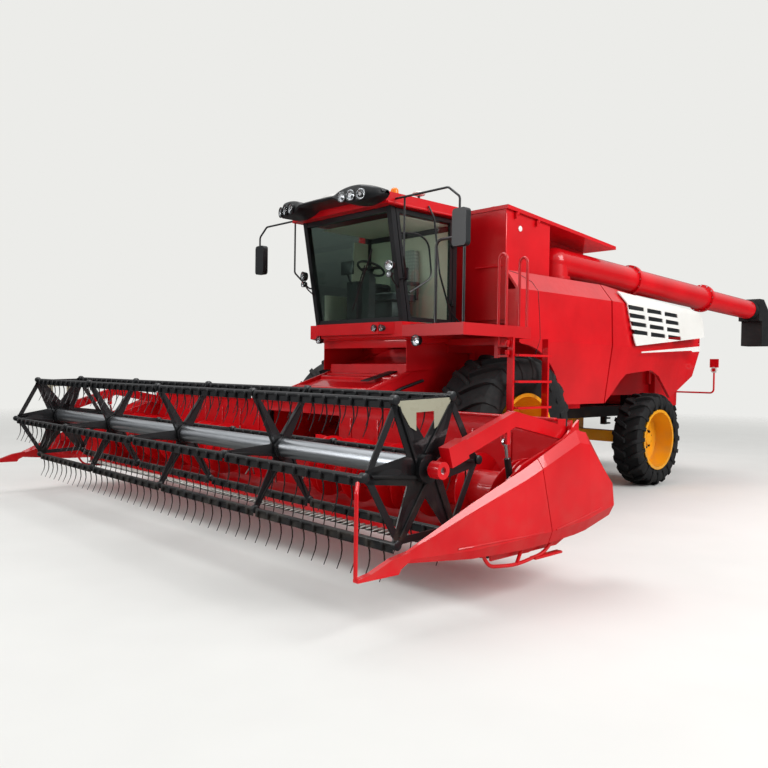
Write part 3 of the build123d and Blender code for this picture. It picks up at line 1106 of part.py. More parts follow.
def arm_point(distance):
    """Point on the arm's front run, at a distance behind its front end."""
    dy, dz = REEL_ARM_BEND[0] - REEL_ARM_FRONT[0], REEL_ARM_BEND[1] - REEL_ARM_FRONT[1]
    length = hypot(dy, dz)
    return REEL_ARM_FRONT[0] + dy / length * distance, REEL_ARM_FRONT[1] + dz / length * distance



# ---------------------------------------------------------------- cylinders
def cylinder_pair(spec, barrel_share):
    """Barrels and rods of a pair of hydraulic cylinders, one on each side."""
    (y0, z0), (y1, z1) = spec["base"], spec["eye"]
    length = hypot(y1 - y0, z1 - z0)
    uy, uz = (y1 - y0) / length, (z1 - z0) / length
    barrels, rods = [], []
    for side in (LEFT, RIGHT):
        x = side * spec["x"]
        frame = Plane(origin=(x, y0, z0), x_dir=(1, 0, 0), z_dir=(0, uy, uz))
        stop = length * barrel_share
        half = spec["rod"] * 0.9
        start = spec["barrel"] * 1.4
        barrel = frame * Pos(0, 0, (start + stop) / 2) * Cylinder(spec["barrel"], stop - start)
        barrel += round_x(spec["pin"] * 1.9, x - half, x + half, y0, z0)
        barrel += frame * Pos(0, 0, start / 2 + 4) * Box(2 * half, spec["pin"] * 2.6, start)
        bore = start + 20
        barrel -= frame * Pos(0, 0, (bore + stop) / 2 + 5) * Cylinder(spec["rod"] + RUN, stop - bore + 10)
        barrel -= round_x(spec["pin"] + RUN, x - 90, x + 90, y0, z0)
        barrels.append(barrel)
        eye_r = spec["pin"] + spec["eye_clear"]
        start = bore + ROD_SINK * length
        end = length - eye_r - 5
        rod = frame * Pos(0, 0, (start + end) / 2) * Cylinder(spec["rod"], end - start)
        rod += round_x(eye_r + 14, x - half * 0.6, x + half * 0.6, y1, z1)
        rod -= round_x(eye_r, x - 90, x + 90, y1, z1)
        rods.append(rod)
    return barrels, rods



def make_cylinders():
    """The pair that lifts the header and the pair that lifts the reel."""
    barrels, rods = cylinder_pair(LIFT_CYL, 0.72)
    save("lift_barrels", *barrels)
    save("lift_rods", *rods)
    barrels, rods = cylinder_pair(REEL_CYL, 0.80)
    save("reel_barrels", *barrels)
    save("reel_rods", *rods)


def main():
    """Write every piece."""
    os.makedirs("parts", exist_ok=True)
    make_wheels()
    make_front_axle()
    make_rear_axle()
    make_steering()
    make_chassis()
    make_body()
    for side, word in ((LEFT, "left"), (RIGHT, "right")):
        make_front_panel(side, word)
        make_rear_panel(side, word)
    make_tank()
    make_lids()
    make_engine()
    make_straw_hood()
    make_unloading_tube()
    make_cab_shell()
    make_door()
    make_cab_glass()
    make_cab_inside()
    make_platform()
    make_ladder()
    make_mirrors()
    make_lamps()
    save("feeder_house", make_feeder_house())
    make_header()
    make_end_shields()
    make_auger()
    make_reel_arms()
    make_reel()
    make_bats()
    make_cylinders()


main()
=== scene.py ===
# %% [markdown]
# # Dressing a combine harvester
# The harvester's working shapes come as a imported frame, in metres, with the ground at Z 0. The
# machine drives towards -Y and its left side is +X. This lesson gives every part of the frame the
# finish of the real one, and then adds what only the eye needs: tyre lugs, tines, bolts, lamps,
# slots, seams and trim. The frame itself is never moved.

# %% Load the frame
from math import cos, pi, radians, sin

import bmesh
import bpy
from mathutils import Matrix, Vector


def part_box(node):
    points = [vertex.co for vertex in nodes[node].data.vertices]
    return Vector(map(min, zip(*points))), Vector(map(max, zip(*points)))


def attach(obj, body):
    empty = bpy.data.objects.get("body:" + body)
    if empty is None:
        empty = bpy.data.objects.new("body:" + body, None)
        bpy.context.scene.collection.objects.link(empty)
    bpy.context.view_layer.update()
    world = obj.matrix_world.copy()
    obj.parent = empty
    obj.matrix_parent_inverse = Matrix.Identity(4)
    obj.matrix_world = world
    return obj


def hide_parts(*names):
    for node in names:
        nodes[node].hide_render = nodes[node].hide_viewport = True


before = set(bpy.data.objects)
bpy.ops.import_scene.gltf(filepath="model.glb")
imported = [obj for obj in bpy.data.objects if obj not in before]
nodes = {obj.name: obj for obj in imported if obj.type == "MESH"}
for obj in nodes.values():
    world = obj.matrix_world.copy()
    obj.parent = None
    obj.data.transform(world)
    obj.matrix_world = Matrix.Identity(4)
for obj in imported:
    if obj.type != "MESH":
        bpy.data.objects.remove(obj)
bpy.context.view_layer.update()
LEFT, RIGHT = 1, -1                      # sign of X on each side
SIDES = (("left", LEFT), ("right", RIGHT))

# %% [markdown]
# ## Places
# All places are worked out from the frame. The front axle is the most useful line on the machine,
# because cab, header and tank are all placed from it. So `spot` takes a distance from the front
# axle (Y) and a height above the ground (Z), and gives the point in the frame. `profile` gives a
# row of such points that share one X, for outlines that are drawn on the machine's side.

# %% Measure from the front axle
def middle(node):
    """Centre of a frame node's box."""
    low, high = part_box(node)
    return (low + high) / 2


AXLE_Y = middle("front_rim_left").y


def spot(x, y, z):
    """Point x from the centre line, y behind the front axle and z above the ground, in metres."""
    return Vector((x, AXLE_Y + y, z))


def profile(x, places):
    """Points at x, each place a (y, z)."""
    return [spot(x, y, z) for y, z in places]


print("front axle lies at Y", round(AXLE_Y, 4))

# %% [markdown]
# ## Camera
# A 36 mm lens stands at head height off the machine's left front corner, and looks down by one
# degree, held by hand and so turned by a little under one degree too.

# %% Set up the camera
CAMERA_AT = spot(6.968, -7.198, 1.674)
CAMERA_TURN, CAMERA_TILT, CAMERA_ROLL = radians(46.91), radians(-1.09), radians(0.84)
LENS_MM, SENSOR_MM = 35.7, 36.0
lens = bpy.data.cameras.new("front_corner")
lens.lens, lens.sensor_width = LENS_MM, SENSOR_MM
lens.clip_end = 500.0
camera = bpy.data.objects.new("front_corner", lens)
bpy.context.scene.collection.objects.link(camera)
camera.location = CAMERA_AT
level = Matrix.Rotation(CAMERA_TURN, 3, "Z") @ Matrix.Rotation(radians(90) + CAMERA_TILT, 3, "X")
camera.rotation_euler = (level @ Matrix.Rotation(CAMERA_ROLL, 3, "Z")).to_euler()
bpy.context.scene.camera = camera
bpy.context.scene.view_settings.view_transform = "Standard"
print("camera at", [round(v, 3) for v in camera.location])

# %% [markdown]
# ## Colour and node helpers
# Paint makers and designers give colours as sRGB hex codes. Shaders count in linear light, so one
# function turns the code into linear numbers. A second small function adds a shader node together
# with its settings and its incoming links. The others each hold a pattern that many finishes
# share: blotches, orange peel, and the shader that ends a material.

# %% Write the helpers
TONE_A, TONE_B, TONE = 6, 7, 2           # the Mix node's colour sockets, two in and one out


def linear(code):
    """Linear RGBA of an sRGB hex code."""
    shares = [int(code[i:i + 2], 16) / 255 for i in (0, 2, 4)]
    return [*(s / 12.92 if s <= 0.04045 else ((s + 0.055) / 1.055) ** 2.4 for s in shares), 1.0]


def add(tree, kind, settings=(), links=(), output=None):
    """A shader node with its settings ({property or input: value}) and links ({input: socket}).

    It gives the node, or the socket of the output that is asked for.
    """
    node = tree.nodes.new("ShaderNode" + kind)
    for key, value in dict(settings).items():
        if isinstance(key, str) and hasattr(node, key):
            setattr(node, key, value)
        else:
            node.inputs[key].default_value = value
    for key, socket in dict(links).items():
        tree.links.new(socket, node.inputs[key])
    return node if output is None else node.outputs[output]


def new_finish(name):
    """An empty node material, its tree, and the place of each point on the object."""
    finish = bpy.data.materials.new(name)
    finish.use_nodes = True
    tree = finish.node_tree
    tree.nodes.clear()
    return finish, tree, add(tree, "TexCoord", output="Object")


def surfaced(tree, settings, links):
    """End a material: a Principled shader with these settings and links, shown on the surface."""
    shader = add(tree, "BsdfPrincipled", settings, links, 0)
    add(tree, "OutputMaterial", links={"Surface": shader})


def blotch(millimetres, detail=3.0, roughness=0.5):
    """Noise settings for blotches about that many millimetres across."""
    return {"Scale": 1000 / millimetres, "Detail": detail, "Roughness": roughness}


def tones(one, other):
    """Mix settings that run from one sRGB colour to another."""
    return {"data_type": "RGBA", TONE_A: linear(one), TONE_B: linear(other)}


def stretch(low, high, to_low=0.0, to_high=1.0):
    """Map Range settings that stretch values from low to high over another range."""
    return {"From Min": low, "From Max": high, "To Min": to_low, "To Max": to_high}


def blotches(tree, place, noise, low, high, to_low=0.0, to_high=1.0):
    """Noise whose values from low to high are stretched to another range, and clamped."""
    marks = add(tree, "TexNoise", noise, {"Vector": place}, "Fac")
    return add(tree, "MapRange", stretch(low, high, to_low, to_high), {"Value": marks}, 0)


def orange_peel(tree, place, strength=0.06):
    """The faint waves that sprayed paint dries in, 12 mm apart and 1 mm high."""
    waves = add(tree, "TexNoise", blotch(12, 1.0), {"Vector": place}, "Fac")
    return add(tree, "Bump", {"Strength": strength, "Distance": 0.001}, {"Height": waves}, 0)


print("red enamel in linear light:", [round(v, 3) for v in linear("D2121E")])

# %% [markdown]
# ## Stage and light
# A pale studio floor fades into the pale room, so there is no hard horizon. The room is lit
# softly all round; a large soft box on the machine's left is the key light, with a weaker one
# overhead and one in front. The level is set so that a colour renders about as it is written.
# Paint mirrors the room as a studio's: dim walls at eye level, a bright ceiling overhead.

# %% Lay the floor
FLOOR_R, FADE_FROM, FADE_TO = 90, 9.0, 24.0     # metres from the machine's middle
bpy.ops.object.select_all(action="DESELECT")
bpy.ops.mesh.primitive_circle_add(vertices=96, radius=FLOOR_R, fill_type="NGON",
                                  location=(0, 0, -0.002))
floor = bpy.context.object
floor.name = "studio_floor"
floor_paint, tree, place = new_finish("matt_floor_paint")
far = add(tree, "VectorMath", {"operation": "LENGTH"}, {0: place}, "Value")
fade = add(tree, "MapRange", stretch(FADE_FROM, FADE_TO), {"Value": far}, 0)
marks = add(tree, "TexNoise", blotch(900), {"Vector": place}, "Fac")
tone = add(tree, "Mix", tones("E4E4E1", "EDEDEA"), {0: marks}, TONE)
matt = add(tree, "BsdfDiffuse", links={"Color": tone}, output=0)
dim = add(tree, "BsdfDiffuse", {"Color": linear("6E6E6C")}, output=0)
glossy = add(tree, "LightPath", output="Is Glossy Ray")
seen = add(tree, "MixShader", links={0: glossy, 1: matt, 2: dim}, output=0)
clear = add(tree, "BsdfTransparent", output=0)
faded = add(tree, "MixShader", links={0: fade, 1: seen, 2: clear}, output=0)
add(tree, "OutputMaterial", links={"Surface": faded})
floor.data.materials.append(floor_paint)
print("floor is", round(floor.dimensions.x), "m across")

# %% Light the room
ROOM, ROOM_LIGHT = "ECECE9", 0.47        # the room's colour, and the strength of its light


def soft_box(name, at, size, watts):
    """Square area lamp that faces the machine's middle."""
    lamp = bpy.data.lights.new(name, "AREA")
    lamp.energy, lamp.size = watts, size
    item = bpy.data.objects.new(name, lamp)
    bpy.context.scene.collection.objects.link(item)
    item.location = at
    aim = Vector((0, -1.0, 1.2)) - Vector(at)
    item.rotation_euler = aim.to_track_quat("-Z", "Y").to_euler()


soft_box("key_box", (15, 1, 10), 9, 1950)
soft_box("top_box", (-2, -2, 15), 9, 820)
soft_box("front_box", (-6, -17, 6), 7, 800)
world = bpy.data.worlds.new("studio_room")
bpy.context.scene.world = world
world.use_nodes = True
tree = world.node_tree
tree.nodes.clear()
ray = add(tree, "LightPath").outputs
seen = add(tree, "Math", {"operation": "MAXIMUM"},
           {0: ray["Is Camera Ray"], 1: ray["Is Glossy Ray"]}, 0)
seen = add(tree, "Math", {"operation": "MAXIMUM"}, {0: seen, 1: ray["Is Transmission Ray"]}, 0)
around = add(tree, "Background", {"Color": linear("FFFFFF"), "Strength": ROOM_LIGHT}, output=0)
shown = add(tree, "Background", {"Color": linear(ROOM), "Strength": 1.0}, output=0)
toward = add(tree, "TexCoord", output="Generated")
upward = add(tree, "SeparateXYZ", links={0: toward}, output="Z")
dusk = add(tree, "MapRange", stretch(0.1, 0.75, 0.05), {"Value": upward}, 0)
mirrored = add(tree, "Background", {"Color": linear("FFFFFF")}, {"Strength": dusk}, 0)
backdrop = add(tree, "MixShader", links={0: ray["Is Glossy Ray"], 1: shown, 2: mirrored}, output=0)
room = add(tree, "MixShader", links={0: seen, 1: around, 2: backdrop}, output=0)
add(tree, "OutputWorld", links={"Surface": room})
print("three soft boxes and the room light are set")

# %% [markdown]
# ## Finishes
# Most of the machine is sheet steel under baked enamel. Enamel is a pigment layer under a clear
# gloss skin, so each paint is a coloured base with a clear coat, a slight unevenness of tone, a
# faint orange peel and a little field dust low down. Peel is really 2 mm across; it is drawn at
# 12 mm here so that it shows.

# %% Mix the enamels
DUST = "8E8272"
DUSTY_UP_TO = 1.1                        # metres above the ground


def enamel(name, colour, shade, roughness=0.34, coat=0.7, dust=0.25):
    """Baked enamel on sheet steel: two close tones under a gloss skin, dusty near the ground."""
    finish, tree, place = new_finish(name)
    marks = blotches(tree, place, blotch(700), 0.35, 0.65)
    tone = add(tree, "Mix", tones(shade, colour), {0: marks}, TONE)
    height = add(tree, "SeparateXYZ", links={0: place}, output="Z")
    low = add(tree, "MapRange", stretch(0.1, DUSTY_UP_TO, dust, 0.0), {"Value": height}, 0)
    patch = blotches(tree, place, blotch(160, 5.0), 0.42, 0.72)
    amount = add(tree, "Math", {"operation": "MULTIPLY"}, {0: low, 1: patch}, 0)
    dusty = add(tree, "Mix", {"data_type": "RGBA", TONE_B: linear(DUST)},
                {0: amount, TONE_A: tone}, TONE)
    rough = blotches(tree, place, blotch(90, 4.0), 0.3, 0.7, roughness - 0.05, roughness + 0.05)
    surfaced(tree, {"Coat Weight": coat, "Coat Roughness": 0.06, "Coat IOR": 1.5,
                    "Specular IOR Level": 0.25},
             {"Base Color": dusty, "Roughness": rough, "Normal": orange_peel(tree, place)})
    return finish


red_enamel = enamel("baked_red_enamel", "DB0B18", "C80914", dust=0.14)
white_enamel = enamel("baked_white_enamel", "F2F1ED", "E9E8E3", dust=0.15)
black_enamel = enamel("baked_black_enamel", "1C1D20", "131416", roughness=0.42, coat=0.35)
yellow_enamel = enamel("baked_yellow_enamel", "F3A91C", "E69A12", dust=0.35)
grey_enamel = enamel("baked_grey_enamel", "A9A792", "9C9A87", roughness=0.3, coat=0.5)
engine_enamel = enamel("engine_enamel", "4A4E52", "3C4044", roughness=0.5, coat=0.2)
print("six enamels are mixed")

# %% [markdown]
# ## Metals
# Bare metals keep the default IOR and get their look from base colour, roughness and scratches.
# Zinc plate is streaked along the machine's width; cylinder rods are hard chrome, ground along
# their length; the knife and the auger's fingers are bare steel, worn by the crop; a lamp's bowl
# is coated with aluminium.

# %% Prepare the metals
def bare_metal(name, colour, shade, roughness, drawn_out=(1, 1, 1), streak=30, bump=0.1):
    """Metal whose marks are drawn out along an axis."""
    finish, tree, place = new_finish(name)
    drawn = add(tree, "Mapping", {"Scale": drawn_out}, {"Vector": place}, 0)
    marks = add(tree, "TexNoise", blotch(streak, 4.0, 0.6), {"Vector": drawn}, "Fac")
    clear_marks = add(tree, "MapRange", stretch(0.3, 0.7), {"Value": marks}, 0)
    tone = add(tree, "Mix", tones(shade, colour), {0: clear_marks}, TONE)
    rough = add(tree, "MapRange", stretch(0.3, 0.7, roughness + 0.08, roughness - 0.04),
                {"Value": marks}, 0)
    relief = add(tree, "Bump", {"Strength": bump, "Distance": 0.0005}, {"Height": marks}, 0)
    surfaced(tree, {"Metallic": 1.0}, {"Base Color": tone, "Roughness": rough, "Normal": relief})
    return finish


zinc = bare_metal("zinc_plate", "D4D8DC", "AEB4BA", 0.3, (0.05, 1, 1), 25)
chrome = bare_metal("hard_chrome", "E4E6E8", "D6D9DC", 0.12, (1, 0.1, 1), 20, 0.03)
worn_steel = bare_metal("worn_steel", "A7A6A2", "77746E", 0.38, streak=40)
lamp_bowl = bare_metal("aluminised_reflector", "FBFCFC", "F0F2F4", 0.34, bump=0.02)
print("four metals are ready")

# %% [markdown]
# ## Rubber and plastic
# Tyre rubber is carbon black and matt, with a fine grain and blotches of dust. The spout and the
# hoses are smoother extruded rubber. The roof visor, mirror shells and cab trim are moulded ABS, a
# plastic whose mould is etched with a leather-like grain, drawn here at 6 mm.

# %% Mix rubber and plastic
def rubber(name, colour, dusty, roughness, grain):
    """Moulded rubber with a grain of that many millimetres and a dusty bloom."""
    finish, tree, place = new_finish(name)
    bloom = blotches(tree, place, blotch(220, 5.0), 0.4, 0.75, 0.0, 0.6)
    tone = add(tree, "Mix", tones(colour, dusty), {0: bloom}, TONE)
    rough = blotches(tree, place, blotch(60), 0.3, 0.7, roughness - 0.08, roughness + 0.08)
    pores = add(tree, "TexNoise", blotch(grain, 4.0), {"Vector": place}, "Fac")
    relief = add(tree, "Bump", {"Strength": 0.35, "Distance": 0.001}, {"Height": pores}, 0)
    surfaced(tree, {"Specular IOR Level": 0.4},
             {"Base Color": tone, "Roughness": rough, "Normal": relief})
    return finish


def moulded(name, colour, shade, roughness=0.45, grain=6):
    """Moulded plastic with an etched grain."""
    finish, tree, place = new_finish(name)
    marks = add(tree, "TexNoise", blotch(300), {"Vector": place}, "Fac")
    tone = add(tree, "Mix", tones(shade, colour), {0: marks}, TONE)
    cells = add(tree, "TexVoronoi", {"Scale": 1000 / grain}, {"Vector": place}, "Distance")
    rough = add(tree, "MapRange", stretch(0.0, 0.8, roughness + 0.06, roughness - 0.06),
                {"Value": cells}, 0)
    relief = add(tree, "Bump", {"Strength": 0.25, "Distance": 0.0003}, {"Height": cells}, 0)
    surfaced(tree, {}, {"Base Color": tone, "Roughness": rough, "Normal": relief})
    return finish


tyre_rubber = rubber("tyre_rubber", "141517", "2A2826", 0.82, 9)
spout_rubber = rubber("spout_rubber", "1C1E1F", "2C2D2D", 0.5, 14)
hose_rubber = rubber("hose_rubber", "17181A", "222324", 0.42, 8)
black_abs = moulded("moulded_black_abs", "1F2225", "17191B", 0.38)
cab_trim = moulded("moulded_cab_trim", "F1ECDC", "E6E0CE", 0.55)
dark_trim = moulded("moulded_dark_trim", "2C2E31", "232528", 0.5)
print("rubber and plastic are ready")

# %% [markdown]
# ## Glass, lenses and cloth
# The cab's panes are tempered glass with a green-grey tint. The lamps' lenses are clear
# polycarbonate. Glass is nearly perfect, so its only marks are a faint dust film in the roughness.

# %% Pour the glass
def glass(name, tint, ior=1.5, pane=False):
    """Clear or tinted glass with a film of dust; a pane is thin and lets the lamps' light in."""
    finish, tree, place = new_finish(name)
    marks = add(tree, "TexNoise", blotch(400), {"Vector": place}, "Fac")
    tone = add(tree, "Mix", tones(tint, tint), {0: marks}, TONE)
    film = blotches(tree, place, blotch(180, 4.0), 0.35, 0.75, 0.0, 0.03)
    surfaced(tree, {"Transmission Weight": 1.0, "IOR": ior},
             {"Base Color": tone, "Roughness": film})
    if pane:
        output = next(node for node in tree.nodes if node.type == "OUTPUT_MATERIAL")
        ray = add(tree, "LightPath").outputs
        lit = add(tree, "Math", {"operation": "MAXIMUM"},
                  {0: ray["Is Shadow Ray"], 1: ray["Is Diffuse Ray"]}, 0)
        open_way = add(tree, "BsdfTransparent", {"Color": linear(tint)}, output=0)
        shader = output.inputs["Surface"].links[0].from_socket
        both = add(tree, "MixShader", links={0: lit, 1: shader, 2: open_way}, output=0)
        tree.links.new(both, output.inputs["Surface"])
    return finish


tinted_glass = glass("tempered_tinted_glass", "C3D2CB", pane=True)
door_pane = glass("tempered_door_glass", "EFF4F1", pane=True)
clear_lens = glass("clear_polycarbonate", "F4F6F8", 1.58)
print("glass and lenses are ready")


# %% Weave the seat cloth
THREAD_MM = 7                            # bands lie 2 pi times this apart, 44 mm


def woven(name, colour, shade):
    """Upholstery cloth: crossed bands, drawn far coarser than its 1.5 mm threads."""
    finish, tree, place = new_finish(name)
    warp, weft = (add(tree, "TexWave", {"wave_type": "BANDS", "bands_direction": direction,
                                        "Scale": 1000 / THREAD_MM / 20}, {"Vector": place}, "Fac")
                  for direction in ("X", "Z"))
    weave = add(tree, "Math", {"operation": "MULTIPLY"}, {0: warp, 1: weft}, 0)
    tone = add(tree, "Mix", tones(shade, colour), {0: weave}, TONE)
    relief = add(tree, "Bump", {"Strength": 0.5, "Distance": 0.0008}, {"Height": weave}, 0)
    surfaced(tree, {"Roughness": 0.9, "Sheen Weight": 0.3}, {"Base Color": tone, "Normal": relief})
    return finish


seat_cloth = woven("woven_seat_cloth", "4B4E54", "33363B")
print("seat cloth is woven")

# %% [markdown]
# ## Painting the frame
# Every node of the frame takes its finish here. The reel is black but its tube is bare zinc, and
# one node holds both, so its finish changes with the distance from the reel's axis. The deck's
# front guard rail is black and the rest of that node is red, so its finish changes with place too.

# %% Mix the two finishes that change with place
REEL_AXIS, REEL_TUBE_R = middle("reel"), 0.083
DECK_Z, RAIL_Y = 2.184, -0.9             # top of the deck, and rear end of its front guard rail


def reel_finish():
    """Zinc within the tube's radius of the reel's axis, black enamel outside it."""
    finish, tree, place = new_finish("zinc_tube_and_black_enamel")
    centre = (0, -REEL_AXIS.y, -REEL_AXIS.z)
    local = add(tree, "Mapping", {"Location": centre, "Scale": (0, 1, 1)}, {"Vector": place}, 0)
    far = add(tree, "VectorMath", {"operation": "LENGTH"}, {0: local}, "Value")
    outside = add(tree, "MapRange", stretch(REEL_TUBE_R, REEL_TUBE_R + 0.001), {"Value": far}, 0)
    drawn = add(tree, "Mapping", {"Scale": (0.05, 1, 1)}, {"Vector": place}, 0)
    streaks = blotches(tree, drawn, blotch(25, 4.0, 0.6), 0.3, 0.7)
    tube = add(tree, "Mix", tones("AEB4BA", "D4D8DC"), {0: streaks}, TONE)
    marks = add(tree, "TexNoise", blotch(700), {"Vector": place}, "Fac")
    black = add(tree, "Mix", tones("131416", "1C1D20"), {0: marks}, TONE)
    tone = add(tree, "Mix", {"data_type": "RGBA"}, {0: outside, TONE_A: tube, TONE_B: black}, TONE)
    metal = add(tree, "MapRange", stretch(0.0, 1.0, 1.0, 0.0), {"Value": outside}, 0)
    rough = add(tree, "MapRange", stretch(0.0, 1.0, 0.3, 0.42), {"Value": outside}, 0)
    surfaced(tree, {}, {"Base Color": tone, "Metallic": metal, "Roughness": rough,
                        "Normal": orange_peel(tree, place)})
    return finish


def deck_finish():
    """Red enamel on the deck and its side rails, black on the front guard rail."""
    finish, tree, place = new_finish("deck_red_and_rail_black")
    parts = add(tree, "SeparateXYZ", links={0: place}).outputs
    above = add(tree, "MapRange", stretch(DECK_Z, DECK_Z + 0.002), {"Value": parts["Z"]}, 0)
    rail = spot(0, RAIL_Y, 0).y, spot(0, RAIL_Y - 0.01, 0).y
    ahead = add(tree, "MapRange", stretch(rail[0], rail[1]), {"Value": parts["Y"]}, 0)
    railed = add(tree, "Math", {"operation": "MULTIPLY"}, {0: above, 1: ahead}, 0)
    marks = add(tree, "TexNoise", blotch(700), {"Vector": place}, "Fac")
    red = add(tree, "Mix", tones("BE0812", "D30A17"), {0: marks}, TONE)
    tone = add(tree, "Mix", {"data_type": "RGBA", TONE_B: linear("1C1D20")},
               {0: railed, TONE_A: red}, TONE)
    surfaced(tree, {"Roughness": 0.36, "Coat Weight": 0.5},
             {"Base Color": tone, "Normal": orange_peel(tree, place)})
    return finish


reel_paint, deck_paint = reel_finish(), deck_finish()
print("reel axis at", [round(v, 3) for v in REEL_AXIS])

# %% Paint every node
PAINTED = (
    (red_enamel, "threshing_body grain_tank tank_lid_left tank_lid_right engine_hood "
     "straw_hood front_panel_left front_panel_right rear_panel_left rear_panel_right "
     "unloading_elbow unloading_tube cab_floor cab_roof ladder feeder_house header_trough "
     "end_shields intake_auger reel_arms rear_lamps"),
    (black_enamel, "chassis_frame front_axle straw_chopper cab_frame cab_door tie_rod "
     "lift_barrels reel_barrels knife_bar tine_bar_1 tine_bar_2 tine_bar_3 tine_bar_4 "
     "tine_bar_5 tine_bar_6"),
    (yellow_enamel, "front_rim_left front_rim_right rear_rim_left rear_rim_right "
     "rear_axle knuckle_left knuckle_right"),
    (chrome, "lift_rods reel_rods"),
    (tyre_rubber, "front_tyre_left front_tyre_right rear_tyre_left rear_tyre_right"),
    (spout_rubber, "tube_spout"),
    (black_abs, "roof_visor mirrors roof_lamps driver_controls"),
    (tinted_glass, "cab_glass"),
    (door_pane, "door_glass"),
    (deck_paint, "platform"),
    (seat_cloth, "driver_seat"),
    (engine_enamel, "engine_block"),
    (reel_paint, "reel"),
)
for finish, names in PAINTED:
    for name in names.split():
        data = nodes[name].data
        data.materials.clear()
        data.materials.append(finish)
painted = {name for _, names in PAINTED for name in names.split()}
print("left unpainted:", sorted(set(nodes) - painted))

# %% [markdown]
# ## Modelling helpers
# The pieces below are modelled as by hand: start from a primitive, shape it in edit mode, finish
# it with modifiers. A few helpers keep the cells short. The frame's nodes come in selected, so
# each helper deselects everything before it adds a primitive, and each finished piece has its
# place in its mesh, with its object at the origin.

# %% Write the modelling helpers
def clear_selection():
    """Nothing selected, and object mode."""
    if bpy.context.object and bpy.context.object.mode == "EDIT":
        bpy.ops.object.mode_set(mode="OBJECT")
    bpy.ops.object.select_all(action="DESELECT")


def pick(*pieces):
    """Select just these pieces, the first one active."""
    clear_selection()
    for piece in pieces:
        piece.select_set(True)
    bpy.context.view_layer.objects.active = pieces[0]


def open_all():
    """Go into edit mode on the active piece, with all of it selected."""
    bpy.ops.object.mode_set(mode="EDIT")
    bpy.ops.mesh.select_all(action="SELECT")


def close_up(merge=0.0):
    """Merge points that lie closer than merge, turn all faces outwards, leave edit mode."""
    bpy.ops.mesh.select_all(action="SELECT")
    if merge:
        bpy.ops.mesh.remove_doubles(threshold=merge)
    bpy.ops.mesh.normals_make_consistent(inside=False)
    bpy.ops.object.mode_set(mode="OBJECT")


def settle(name):
    """Name the piece just added and move its place into its mesh."""
    piece = bpy.context.object
    piece.name = piece.data.name = name
    bpy.ops.object.transform_apply(location=True, rotation=True, scale=True)
    return piece


def finish_with(piece, kind, **settings):
    """Add one modifier to the piece and apply it."""
    pick(piece)
    modifier = piece.modifiers.new(kind.lower(), kind)
    for key, value in settings.items():
        setattr(modifier, key, value)
    bpy.ops.object.modifier_apply(modifier=modifier.name)
    return piece


def rounded(piece, radius, steps=2):
    """Round the piece's sharp edges."""
    return finish_with(piece, "BEVEL", width=radius, segments=steps, limit_method="ANGLE")


def cuboid(name, low, high, edge=0.0, steps=2):
    """Box between two corners with its edges rounded."""
    low, high = Vector(low), Vector(high)
    clear_selection()
    bpy.ops.mesh.primitive_cube_add(size=1, location=(low + high) / 2, scale=high - low)
    piece = settle(name)
    return rounded(piece, edge, steps) if edge else piece


def slab(name, outline, depth, edge=0.0, steps=2):
    """Flat outline of points, extruded by the vector depth."""
    clear_selection()
    bpy.ops.mesh.primitive_circle_add(vertices=len(outline), fill_type="NGON")
    piece = settle(name)
    for vertex, point in zip(piece.data.vertices, outline):
        vertex.co = point
    open_all()
    bpy.ops.mesh.extrude_region_move(TRANSFORM_OT_translate={"value": depth})
    close_up()
    return rounded(piece, edge, steps) if edge else piece


POINT_R = 1e-5                           # a ring this small closes to a point
TURN_TO = {"X": (0, radians(90), 0), "Y": (radians(90), 0, 0), "Z": (0, 0, 0)}


def turned(name, rings, centre, axis="X", sides=48, closed=False):
    """Turned part: rings of (distance along the axis, radius), one extruded from the other."""
    along = Vector([float(letter == axis) for letter in "XYZ"])
    across = Vector((1, 1, 1)) - along
    clear_selection()
    bpy.ops.mesh.primitive_circle_add(vertices=sides, radius=rings[0][1], rotation=TURN_TO[axis],
                                      location=Vector(centre) + along * rings[0][0])
    piece = settle(name)
    open_all()
    if not closed:
        bpy.ops.mesh.edge_face_add()
    for (before, old), (after, new) in zip(rings, rings[1:]):
        bpy.ops.mesh.extrude_region()
        bpy.ops.transform.translate(value=along * (after - before))
        share = max(new, POINT_R) / max(old, POINT_R)
        bpy.ops.transform.resize(value=along + across * share,
                                 center_override=Vector(centre) + along * after)
    close_up(2 * POINT_R)
    return piece


def joined(name, *pieces):
    """Several pieces as one."""
    pick(*pieces)
    bpy.ops.object.join()
    pieces[0].name = pieces[0].data.name = name
    return pieces[0]


def twin(piece, name, move):
    """A copy of the piece with its own mesh, moved by a matrix."""
    other = piece.copy()
    other.data = piece.data.copy()
    other.name = other.data.name = name
    other.data.transform(move)
    if move.determinant() < 0:
        other.data.flip_normals()
    bpy.context.scene.collection.objects.link(other)
    return other


def copied(piece, moves):
    """The piece at each of these matrices, joined into one, the original taken away."""
    name = piece.name
    twins = [twin(piece, name, move) for move in moves]
    bpy.data.objects.remove(piece)
    return joined(name, *twins)


def dress(piece, finish, body, smooth=30):
    """Give the piece its finish, shade it and let it ride on its body."""
    piece.data.materials.clear()
    piece.data.materials.append(finish)
    pick(piece)
    bpy.ops.object.shade_smooth_by_angle(angle=radians(smooth))
    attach(piece, body)
    return piece


def turn_about(centre, angle, axis):
    """Matrix that turns by an angle about an axis through a point."""
    centre = Vector(centre)
    turn = Matrix.Rotation(angle, 4, axis)
    return Matrix.Translation(centre) @ turn @ Matrix.Translation(-centre)


def row(start, step, count):
    """Matrices that move a piece to count places along X, the first one at start."""
    return [Matrix.Translation((start + index * step, 0, 0)) for index in range(count)]


